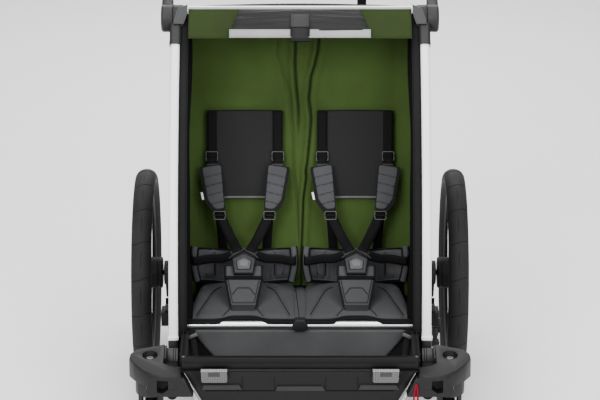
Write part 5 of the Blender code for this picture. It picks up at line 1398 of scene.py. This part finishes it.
def rest_on(piece, lift=0.0004):
    """Gives a function that drops a place onto a piece's upper side, or None where it misses."""
    tree = BVHTree.FromPolygons([vert.co.copy() for vert in piece.data.vertices],
                                [tuple(face.vertices) for face in piece.data.polygons])

    def drop(place):
        hit = tree.ray_cast(Vector((place.x, place.y, 1.0)), Vector((0, 0, -1)))[0]
        return hit + Vector((0, 0, lift)) if hit else None
    return drop


def squeeze(anchor, factor):
    """A squeeze along Z about a height."""
    return (Matrix.Translation((0, 0, anchor)) @ Matrix.Diagonal((1, 1, factor, 1))
            @ Matrix.Translation((0, 0, -anchor)))


def hip_wings():
    """Padded wings round the hips: sewn channels, curled ends and piped edges."""
    low, high = SEAT_TOP - 0.0075, 0.3690

    def centre_y(share):
        return -0.1600 - 0.052 * abs(share) ** 3.5

    def surface(side, front, grow=0.0):
        def place(s, t):
            share = 2 * s - 1
            bow = 0.0030 * math.sin(math.pi * t) * abs(share) ** 6 * (1 if share > 0 else -1)
            offset = HIP_HALF * share + bow
            z_low = low + 0.028 * abs(share) ** 2.2
            z_high = high + 0.024 * abs(share) ** 3
            flare = 1 - 0.05 * abs(1 - t) * abs(share) ** 2
            thick = 0.005 + 0.012 * math.sin(math.pi * (0.12 + 0.76 * t)) ** 0.7
            y = centre_y(share) + (grow if front else thick)
            return spot(side * SEAT_CENTRE + offset * flare, y, z_low + (z_high - z_low) * t)
        return place

    for name, side in SIDES.items():
        front = surface(side, True, 0.0012)
        bm = slab(60, 18, front, surface(side, False))
        made = stuffed(f"hip_wing_{name}", bm, "grey_fabric", "base", 0.0042, 0.0035)

        def channel(co, normal):
            if normal.y > 0.1:
                return 0.0
            offset = abs(co.x - side * SEAT_CENTRE)
            share = (co.z - low) / (high - low)
            ends = min(1.0, max(0.0, 6 * (share - 0.16))) * min(1.0, max(0.0, 6 * (1.02 - share)))
            pleats = 0.35 * max(0.0, math.cos(offset * math.tau / 0.0062)) ** 2 if offset < 0.064 else 0.0
            seams = sum(bump_shape(offset - place, 0.0026) for place in (0.0705, 0.0905))
            return 0.0036 * (pleats + seams) * ends

        sew(made, channel, (0, 1, 0))
        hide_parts(f"hip_pad_{name}")
        for share, radius, finish in ((0.005, 0.0032, "black_piping"), (0.075, 0.0011, "grey_piping")):
            hem = [surface(side, True, -0.0008)(i / 40, share) for i in range(41)]
            bar(f"hip_hem_{finish}_{name}", hem, radius, finish, "base")
        rail = [surface(side, True, 0.0030)(i / 40, 1.0) for i in range(41)]
        bar(f"hip_edge_{name}", rail, 0.0020, "black_piping", "base")
        for label, hand in SIDES.items():
            for offset, top in ((0.0500, 0.58), (0.0555, 0.60), (0.0705, 0.56), (0.0905, 0.52)):
                s = 0.5 + hand * offset / HIP_HALF / 2
                line = [surface(side, True, 0.0016)(s, 0.20 + (top - 0.20) * i / 6) for i in range(7)]
                radius = 0.0014 if offset > 0.06 else 0.0008
                bar(f"hip_seam_{round(offset * 1000)}_{label}_{name}", line, radius, "seam_thread", "base")
        for label, hand in SIDES.items():
            end, curl = [], []
            for i in range(17):
                t = 0.04 + 1.02 * i / 16
                bend = math.sin(math.pi * i / 16)
                base = surface(side, True, -0.0040)(0.5 + hand * (0.470 - 0.012 * (1 - bend)), t)
                end.append(base + Vector((0, -0.0040 * bend, 0)))
                base = surface(side, True, -0.0010)(0.5 + hand * (0.496 - 0.006 * (1 - bend)), t)
                curl.append(base + Vector((0, -0.0030 * bend, 0)))
            bar(f"hip_end_{label}_{name}", end, 0.0034, "black_piping", "base")
            bar(f"hip_curl_{label}_{name}", curl, 0.0068, "grey_fabric", "base")
            outer = [point + Vector((hand * 0.0062, 0.0012, 0.0008)) for point in curl]
            bar(f"hip_outer_{label}_{name}", outer, 0.0034, "black_piping", "base")


def back_panels():
    """Netting over the gathered back behind each child, with its lower hem and upper binding."""
    def panel(side):
        def place(s, t):
            half = 0.0790 + 0.0098 * t
            hollow = 0.0030 * math.sin(math.pi * s)
            x = side * SEAT_CENTRE + half * (2 * s - 1)
            return on_back(x, MESH_LOW + (MESH_HIGH - MESH_LOW) * t, 0.0125 - hollow)
        return place

    for name, side in SIDES.items():
        place = panel(side)
        made = cloth(f"back_netting_{name}", 36, 40, place, "mesh_cloth", "base", 0.0030,
                     "low")
        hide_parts(f"seat_back_{name}")
        hem = [place(i / 20, 0.012) + Vector((0, -0.0018, 0)) for i in range(21)]
        crumple(bar(f"netting_hem_{name}", hem, 0.0030, "grey_piping", "base"), "low")
        top = [place(i / 20, 0.995) + Vector((0, -0.0012, 0)) for i in range(21)]
        crumple(bar(f"netting_top_{name}", top, 0.0014, "black_piping", "base"), "low")


def crotch_arch(across):
    """How far up a crotch pad its pressed panel's arched top runs, at a distance from its middle."""
    share = min(1.0, max(0.0, (abs(across) - 0.0120) / 0.0150))
    return 0.0335 + 0.0165 * (1 - share * share * (3 - 2 * share))


def crotch_half(up):
    """Half a crotch pad's width at a distance up from its foot."""
    return 0.0287 + 0.0141 * min(1.0, up / (0.7 * CROTCH_LENGTH))


def crotch_pads():
    """Slanting pads in two halves, sewn, banded and edged, with a moulded foot."""
    def surface(side, front, low, high):
        def place(s, t):
            up = low + (high - low) * t
            half = crotch_half(up) - 0.0014
            crown = 0.0014 * (math.sin(math.pi * s) * math.sin(math.pi * t)) ** 0.4
            return on_crotch(side, half * (2 * s - 1), up, crown - 0.0012 if front else -0.0080)
        return place

    def pad(name, side, low, high, rows, voxel, cap):
        bm = slab(22, rows, surface(side, True, low, high), surface(side, False, low, high))
        return stuffed(name, bm, "seat_cloth_shaded", "base", voxel, cap, 3.0, 12)

    foot = ((-0.0282, -0.004), (-0.0225, -0.0115), (0.0225, -0.0115), (0.0282, -0.004), (0.0290, 0.0055),
            (-0.0290, 0.0055))
    for name, side in SIDES.items():
        lower = pad(f"crotch_pad_lower_{name}", side, 0.004, 0.0745, 24, 0.0030, 0.0016)
        pad(f"crotch_pad_upper_{name}", side, 0.0800, CROTCH_LENGTH - 0.001, 12, 0.0034, 0.0014)
        origin = on_crotch(side, 0, 0, 0)
        slope = (on_crotch(side, 0, 1, 0) - origin).normalized()
        outward = (on_crotch(side, 0, 0, 1) - origin).normalized()

        def arch(co, normal):
            x = co.x - origin.x
            if normal.dot(outward) < 0.3 or abs(x) > 0.027:
                return 0.0
            up = (co - origin).dot(slope)
            return 0.0022 * (bump_shape(up - crotch_arch(x), 0.0026) + 0.7 * bump_shape(up - 0.0115, 0.0026))

        sew(lower, arch, -outward)
        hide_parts(f"crotch_pad_{name}")
        stitch = [on_crotch(side, hand * (crotch_half(up) - 0.0060), up, 0.0010)
                  for hand, ups in ((-1, (0.070, 0.052, 0.030, 0.0105)), (1, (0.0105, 0.030, 0.052, 0.070)))
                  for up in ups]
        bar(f"crotch_stitch_{name}", stitch, 0.0007, "seam_thread", "base")
        across = [-0.0265 + 0.0530 * i / 24 for i in range(25)]
        panel = [on_crotch(side, a, crotch_arch(a), 0.0004) for a in across]
        bar(f"crotch_panel_{name}", panel, 0.0008, "seam_thread", "base")
        band = [on_crotch(side, 0.0420 * (2 * i / 8 - 1), 0.0772, -0.0012) for i in range(9)]
        strap(f"crotch_band_{name}", band, 0.0075, "black_webbing", "base", (0, 0.796, 0.606), 0.0060,
              steps=1)
        plate(f"crotch_foot_{name}", foot, 0.0070, lambda a, b, out: on_crotch(side, a, b, out - 0.0075),
              "tub_plastic", "base", 0.0012)
        ups = [0.003 + (CROTCH_LENGTH - 0.004) * i / 12 for i in range(13)]
        for label, hand in SIDES.items():
            line = [on_crotch(side, hand * (crotch_half(up) + 0.0004), up, -0.0026) for up in ups]
            bar(f"crotch_edge_{label}_{name}", line, 0.0021, "black_piping", "base")


# Harness


def slide_loop(name, middle, width, height, upward):
    """A ladder-lock slider: a bright rounded edge on a dark frame."""
    up = Vector(upward).normalized()
    across = (Vector((1, 0, 0)) - up * up.x).normalized()
    outward = across.cross(up).normalized()
    outward = -outward if outward.y > 0 else outward

    def rounded(grow, back):
        half, tall, corner = width / 2 + grow, height / 2 + grow, 0.003
        points = []
        for a, b, start in ((1, 1, 0), (-1, 1, 90), (-1, -1, 180), (1, -1, 270)):
            for i in range(4):
                angle = math.radians(start + 30 * i)
                aside = a * (half - corner) + corner * math.cos(angle)
                upwards = b * (tall - corner) + corner * math.sin(angle)
                points.append(middle - outward * back + across * aside + up * upwards)
        return points

    crumple(bar(name, rounded(0, 0), 0.00095, "slider_grey", "base", True), "low")
    crumple(bar(name + "_frame", rounded(-0.0004, 0.0016), 0.0019, "black_piping", "base", True), "low")
    rod = [middle - across * width / 2, middle + across * width / 2]
    crumple(bar(name + "_bar", rod, 0.0018, "black_piping", "base"), "low")


def shoulder_cushion(name, hand, path):
    """A quilted grey pad on a black backing, wide at the shoulder and cut away at its outer foot."""
    origin, end = path
    down = (end - origin).normalized()
    across = (Vector((-hand, 0, 0)) + down * (hand * down.x)).normalized()
    outward = down.cross(across)
    if outward.y > 0:
        outward = -outward
    length = (end - origin).length

    def edges(t, grow):
        outer = 0.0225 - 0.0010 * t - 0.0150 * max(0.0, t - 0.72) ** 1.4 / 0.28 ** 1.4
        inner = 0.0215 - 0.0075 * t
        corner = 0.0030 * (max(0.0, 0.05 - t) / 0.05) ** 2 + 0.0030 * (max(0.0, t - 0.95) / 0.05) ** 2
        return -(outer + grow - corner), inner + grow - corner

    def place_on(a, along, out):
        return origin + across * a + down * along + outward * out

    def backing(front):
        def place(s, t):
            low, high = edges(t, 0.0018)
            return place_on(low - 0.0050 + (high - low + 0.0050) * s, -0.0026 + (length + 0.0095) * t,
                            0.0034 if front else -0.0010)
        return place

    bm = slab(10, 24, backing(True), backing(False))
    back = close_mesh(f"shoulder_backing_{name}", bm, "dark_fabric", "base", 50)
    crumple(back, "low")

    def quilt(front):
        def place(s, t):
            low, high = edges(t, 0.0)
            crown = 0.0052 * math.sin(math.pi * (0.04 + 0.92 * s)) ** 0.35
            crown *= math.sin(math.pi * (0.02 + 0.96 * t)) ** 0.3
            tilt = 0.10 * (s - 0.5)
            seam = sum(bump_shape(t + tilt * 0.35 - k, 0.011) for k in (0.215, 0.43, 0.645, 0.86))
            out = 0.0028 + crown - 0.0034 * seam if front else 0.0018
            return place_on(low + (high - low) * s, length * t, out)
        return place

    bm = slab(20, 72, quilt(True), quilt(False))
    pad = close_mesh(f"shoulder_pad_{name}", bm, "grey_fabric", "base", 70)
    crumple(pad, "low")
    return place_on, length


# Straps of a harness: distance from the seat's middle, height, and distance out from the back
SHOULDER_RUN = ((STRAP_SPREAD, 0.6690, 0.0165), (STRAP_SPREAD, 0.620, 0.0165), (STRAP_SPREAD, 0.580, 0.0175),
                (0.0772, 0.545, 0.0240), (0.0740, 0.515, 0.0330), (0.0655, 0.474, 0.0480),
                (0.0565, 0.447, 0.0575), (0.0480, 0.430, 0.0645), (0.0310, 0.4015, 0.0790))
SIDE_RUN = ((0.0575, 0.4480, 0.0560), (0.0555, 0.4200, 0.0450), (0.0530, 0.3850, 0.0330),
            (0.0515, 0.3600, 0.0250))
CUSHION_RUN = ((0.0775, 0.5470, 0.0300), (0.0610, 0.4600, 0.0560))
# The lap belt, as places to the right of the seat's middle
LAP_RUN = ((0.1200, -0.2080, 0.3690), (0.1195, -0.2300, 0.3700), (0.1080, -0.2330, 0.3705),
           (0.0790, -0.2190, 0.3700), (0.0520, -0.2240, 0.3730))


def harness():
    """Shoulder, side and lap straps with sliders, keepers and cushions, and the buckles."""
    keeper = ((-0.0135, 0.0), (0.0135, 0.0), (0.0125, -0.014), (-0.0125, -0.014))
    for name, side in SIDES.items():
        centre = side * SEAT_CENTRE
        first = None
        for label, hand in SIDES.items():
            tag = f"{label}_{name}"

            def run(points):
                return [on_back(centre + hand * x, z, out) for x, z, out in points]

            buckle_end = on_crotch(side, hand * 0.0150, BUCKLE_BASE + BUCKLE_HEIGHT + 0.0060, 0.0085)
            made = strap(f"shoulder_strap_{tag}", [*run(SHOULDER_RUN), buckle_end], 0.0235, "black_webbing",
                         "base", joint="low")
            first = first or made
            x = centre + hand * STRAP_SPREAD
            slide_loop(f"upper_slider_{tag}", on_back(x, 0.5680, 0.0210), 0.0272, 0.0208, (0, BACK_SLOPE, 1))
            block = plate(f"strap_keeper_{tag}", keeper, 0.0040,
                          lambda a, b, out: on_back(x - hand * 0.001 + a, 0.5530 + b, 0.0235 + out),
                          "black_plastic", "base", 0.001)
            crumple(block, "low")
            place_on, length = shoulder_cushion(tag, hand, run(CUSHION_RUN))
            slide_loop(f"lower_slider_{tag}", on_back(centre + hand * 0.0585, 0.4478, 0.0625), 0.0262, 0.0188,
                       (0, 0.42, 1))
            strap(f"side_strap_{tag}", run(SIDE_RUN), 0.0215, "black_webbing", "base", joint="low")
            buckle_side = on_crotch(side, hand * 0.0280, BUCKLE_BASE + BUCKLE_HEIGHT * 0.90, 0.0095)
            belt = [*side_line(hand, LAP_RUN, centre), buckle_side]
            strap(f"lap_belt_{tag}", belt, 0.0210, "black_webbing", "base", (0, 0.3, 1))
            if hand < 0:
                white_tag(name, place_on, length)
        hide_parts(f"harness_{name}")
        buckle(name, side)


def white_tag(name, place_on, length):
    """A small bare tag sewn in the outer edge of a shoulder pad."""
    def to_world(a, b, out):
        return place_on(-0.0325 + a, length * 0.56 + b, 0.0030 + out)

    outline = [(-0.0026, 0.0), (0.0020, 0.0), (0.0028, 0.0180), (-0.0018, 0.0180)]
    crumple(plate(f"pad_tag_{name}", outline, 0.0010, to_world, "bare_tag", "base"), "low")


def buckle(name, side):
    """A buckle with its pressed button, and the two tongues that run under its roof-shaped top."""
    refined(f"buckle_{name}", "black_plastic", 0.0014)
    refined(f"buckle_button_{name}", "button_dark", 0.0012)
    rim = ((-0.0122, 0.0118), (0.0122, 0.0118), (0.0157, 0.0300), (0.0090, 0.0350), (0.0, 0.0392),
           (-0.0090, 0.0350), (-0.0157, 0.0300))
    face = ((-0.0080, 0.0165), (0.0080, 0.0165), (0.0112, 0.0290), (0.0062, 0.0335), (0.0, 0.0352),
            (-0.0062, 0.0335), (-0.0112, 0.0290))
    for part, outline, depth, out_of, finish, rounding in (
            ("rim", rim, 0.0014, 0.0144, "button_dark", 0.0010),
            ("face", face, 0.0010, 0.0156, "button_grey", 0.0005)):
        plate(f"button_{part}_{name}", outline, depth,
              lambda a, b, out: on_crotch(side, a, BUCKLE_BASE + b, out_of + out), finish,
              f"buckle_button_{name}", rounding)
    top, shoulder = BUCKLE_BASE + BUCKLE_HEIGHT + 0.0016, BUCKLE_BASE + BUCKLE_HEIGHT * 0.70 - 0.0010
    reach = BUCKLE_HALF + 0.0040
    tongue = ((0.0006, top), (reach, shoulder), (reach, shoulder + 0.0042),
              (reach - 0.0060, shoulder + 0.0096), (0.0006, top + 0.0066))
    edge = ((0.0016, top + 0.0060), (reach - 0.0060, shoulder + 0.0090), (reach, shoulder + 0.0040),
            (reach - 0.0006, shoulder + 0.0006))
    notch = ((0.0016, top + 0.0060), (0.0016, top + 0.0104))
    for label, hand in SIDES.items():
        plate(f"buckle_tongue_{label}_{name}", mirrored(tongue, hand), 0.0026,
              lambda a, b, out: on_crotch(side, a, b, 0.0105 + out), "black_piping", "base", 0.0006)
        for part, line in (("edge", edge), ("notch", notch)):
            points = [on_crotch(side, a, b, 0.0128) for a, b in mirrored(line, hand)]
            bar(f"tongue_{part}_{label}_{name}", points, 0.0005, "button_dark", "base")


# Footwell


def footwell():
    """The lining of the tub's rear wall, and its clips, straps, piping, stays, rivets and rims."""
    rear_run = (TRAY_REAR - TRAY_REAR_FLOOR) / (TRAY_REAR_TOP - TRAY_FLOOR)
    lean = math.radians(24)

    def apron(s, t):
        z = 0.2665 - 0.1235 * t
        half = 0.2400 - 0.0060 * t - 0.085 * max(0.0, t - 0.12) ** 1.1
        y = TRAY_REAR_FLOOR + rear_run * (z - TRAY_FLOOR) - 0.0072
        y += 0.0015 * math.sin(math.pi * t)
        return spot(half * (2 * s - 1), y, z)

    def on_clip(side):
        across, rise = math.cos(lean), -side * math.sin(lean)
        return lambda a, b, out: spot(side * 0.2425 + a * across - b * rise, -0.4230 - out,
                                      0.2633 + a * rise + b * across)

    clip = ((-0.0105, -0.0036), (0.0105, -0.0036), (0.0105, 0.0036), (-0.0105, 0.0036))
    webbing_run = ((0.2500, -0.4000, 0.2740), (0.2440, -0.4200, 0.2600), (0.2380, -0.4560, 0.2400),
                   (0.2320, -0.5000, 0.2200))
    piping = ((TRAY_HALF_TOP - 0.006, -0.004, 0.0010), (0.2330, -0.060, 0.0014), (0.2080, -0.1250, 0.0012))
    stay = ((0.2440, -0.5600, 0.1900), (0.2385, -0.5590, 0.1830), (0.2290, -0.5520, 0.1620),
            (0.2200, -0.5450, 0.1400))
    recess = ((0.2400, -0.0020), (0.2250, -0.0020), (0.2090, -0.0440), (0.2210, -0.0470))
    rivet = [(radius, MEMBER[1] + up)
             for radius, up in ((0.0001, 0.0202), (0.0028, 0.0198), (0.0038, 0.0180))]
    rim = ((0.2598, -0.4200, 0.2720), (0.2590, -0.4700, 0.2650), (0.2580, -0.5300, 0.2640),
           (0.2572, -0.5820, 0.2660))

    cloth("footwell_apron", 60, 20, apron, "tub_lining", "base", 0.0016)
    for name, side in SIDES.items():
        plate(f"webbing_clip_{name}", clip, 0.0050, on_clip(side), "slider_grey", "base", 0.0012)
        strap(f"tub_strap_{name}", side_line(side, webbing_run), 0.0150, "black_webbing", "base")
        cord = smooth_line([on_front(side * x, up, out) for x, up, out in piping], 8)
        bar(f"tub_piping_{name}", cord, 0.0008, "silver_tape", "base")
        bar(f"tub_stay_{name}", smooth_line(side_line(side, stay), 8), 0.0048, "light_tube", "base")
        # A thin black plate in a recess's outline on the tub's front: painted shade for the recess.
        plate(f"tub_recess_shade_{name}", mirrored(recess, side), 0.0006, on_front, "black_piping", "base")
        turned(f"member_rivet_{name}", rivet, spot(side * 0.2570, MEMBER[0] - 0.004, 0), "Z", "slider_grey",
               "base", 20)
        strap(f"tub_rim_{name}", side_line(side, rim), 0.0165, "dark_fabric", "base", thickness=0.0030)


def front_cover():
    """The cap over the cross member and the reflectors that hang from it."""
    cap = ((-0.2615, 0.2600), (0.2615, 0.2600), (0.2615, 0.2825), (-0.2615, 0.2825))
    plate("member_cover", cap, 0.0140, lambda a, b, out: spot(a, MEMBER[0] + 0.0016 - out, b), "black_paint",
          "base", 0.0024)
    groove = [spot(x, MEMBER[0] - 0.0126, 0.2712) for x in (-0.2550, 0.0, 0.2550)]
    bar("member_groove", groove, 0.0008, "black_piping", "base")
    lens = ((0.1600, 0.0085), (0.2182, 0.0085), (0.2182, -0.0225), (0.2168, -0.0262), (0.2132, -0.0275),
            (0.1650, -0.0275), (0.1614, -0.0262), (0.1600, -0.0225))
    for name, side in SIDES.items():
        made = plate(f"reflector_lens_{name}", mirrored(lens, side), 0.0090, on_front, "clear_reflector",
                     "base", 0.0014)
        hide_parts(f"reflector_{name}")


def front_panel():
    """Raised ledges and seams across the tub's front."""
    for name, low, high, up in (("left", -0.2170, -0.1310, -0.0420), ("middle", -0.0535, 0.0535, -0.0465),
                                ("right", 0.1310, 0.2170, -0.0420)):
        foot = up - 0.0145
        ledge = ((low + 0.003, up), (high - 0.003, up), (high + 0.003, foot), (low - 0.001, foot))
        plate(f"tub_ledge_{name}", ledge, 0.0036, on_front, "ledge_plastic", "base", 0.0012)
    patch = ((0.1765, 0.0075), (0.2020, 0.0075), (0.2020, -0.0070), (0.1765, -0.0070))
    for name, side in SIDES.items():
        for label, near, far, low in (("middle", 0.0556, 0.0574, -0.0600),
                                      ("outer", 0.1270, 0.1286, -0.0560)):
            seam = mirrored(((near, -0.0190), (far, -0.0190), (far, low), (near, low)), side)
            plate(f"tub_seam_{label}_{name}", seam, 0.0010, on_front, "black_piping", "base")
        plate(f"reflector_mark_{name}", mirrored(patch, side), 0.0005,
              lambda a, b, out: on_front(a, b, 0.0089 + out), "grey_plastic", "base")
    step = ((-0.2090, -0.0625), (0.2090, -0.0625), (0.2090, -0.0645), (-0.2090, -0.0645))
    plate("tub_front_step", step, 0.0010, on_front, "black_piping", "base")


def loops():
    """The strap on the push bar and the red pull loop."""
    centre = spot(0.1486, *HANDLE_TOP)
    radius = GRIP_RADIUS + 0.0014
    points = []
    for i in range(13):
        angle = math.radians(-25 + 230 * i / 12)
        points.append(centre + Vector((0, radius * math.cos(angle), radius * math.sin(angle))))
    low = HANDLE_TOP[1] - 0.190
    for y, z in ((-0.0075, low + 0.130), (-0.0050, low + 0.030), (-0.0040, low + 0.006), (0.0, low + 0.0006),
                 (0.0040, low + 0.006), (0.0050, low + 0.030), (0.0075, low + 0.130)):
        points.append(spot(0.1486, HANDLE_TOP[0] + y, z))
    made = strap("wrist_loop", points, 0.022, "black_webbing", "handlebar", steps=3, closed=True)
    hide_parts("wrist_strap")
    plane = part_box("pull_loop")[0][1] + 0.0012
    outline = [(0.2566, 0.2225), (0.2548, 0.2180), (0.2532, 0.2060), (0.2508, 0.1800), (0.2506, 0.1600),
               (0.2532, 0.1500), (0.2572, 0.1500), (0.2600, 0.1600), (0.2604, 0.1800), (0.2594, 0.2060),
               (0.2582, 0.2180)]
    cord = [Vector((x, plane, z)) for x, z in outline]
    red = bar("red_loop", smooth_line(cord, 5, True), 0.0023, "red_webbing", "base", True)
    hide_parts("pull_loop")


# Stage


def stage():
    """A pale floor, soft lamps and the camera."""
    floor_finish = start_finish("studio_floor", (0.90, 0.90, 0.90), 0.9)[0]
    bm = bmesh.new()
    bmesh.ops.create_grid(bm, x_segments=1, y_segments=1, size=12)
    mesh = bpy.data.meshes.new("floor")
    bm.to_mesh(mesh)
    bm.free()
    mesh.materials.append(floor_finish)
    floor = bpy.data.objects.new("floor", mesh)
    bpy.context.scene.collection.objects.link(floor)
    world = bpy.data.worlds.new("studio")
    world.use_nodes = True
    world.node_tree.nodes["Background"].inputs["Color"].default_value = (1, 1, 1, 1)
    world.node_tree.nodes["Background"].inputs["Strength"].default_value = 0.60
    bpy.context.scene.world = world
    for name, place, size, power in (
            ("overhead", (0, -0.6, 4.2), 4.4, 250), ("key", (-1.7, -4.4, 3.0), 2.0, 190),
            ("fill", (2.1, -4.2, 2.4), 2.0, 110), ("rim", (0, 3.2, 2.6), 2.4, 90)):
        light = bpy.data.lights.new(name, "AREA")
        light.size = size
        light.energy = power
        lamp = bpy.data.objects.new(name, light)
        lamp.location = place
        lamp.rotation_euler = (Vector((0, 0, 0.5)) - Vector(place)).to_track_quat("-Z", "Y").to_euler()
        bpy.context.scene.collection.objects.link(lamp)
    camera = bpy.data.objects.new("camera", bpy.data.cameras.new("camera"))
    camera.data.lens = LENS
    camera.data.clip_end = 60
    camera.location = spot(*CAMERA_PLACE)
    camera.rotation_euler = (CAMERA_PITCH, 0, 0)
    bpy.context.scene.collection.objects.link(camera)
    bpy.context.scene.camera = camera


stage()
dress_frame()
post_details()
seat_clip()
shoulder_brackets()
joint_sleeves()
foot_collars()
pod_saddles()
pin_bosses()
brake_details()
fitting_caps()
tyres()
wheels()
casters()
back_curtain()
back_foot()
cabin_sides()
seat_sling()
boot()
roof()
header()
cover_roll()
edge_bindings()
seat_pads()
seat_bridge()
hip_wings()
back_panels()
crotch_pads()
harness()
footwell()
front_cover()
front_panel()
loops()
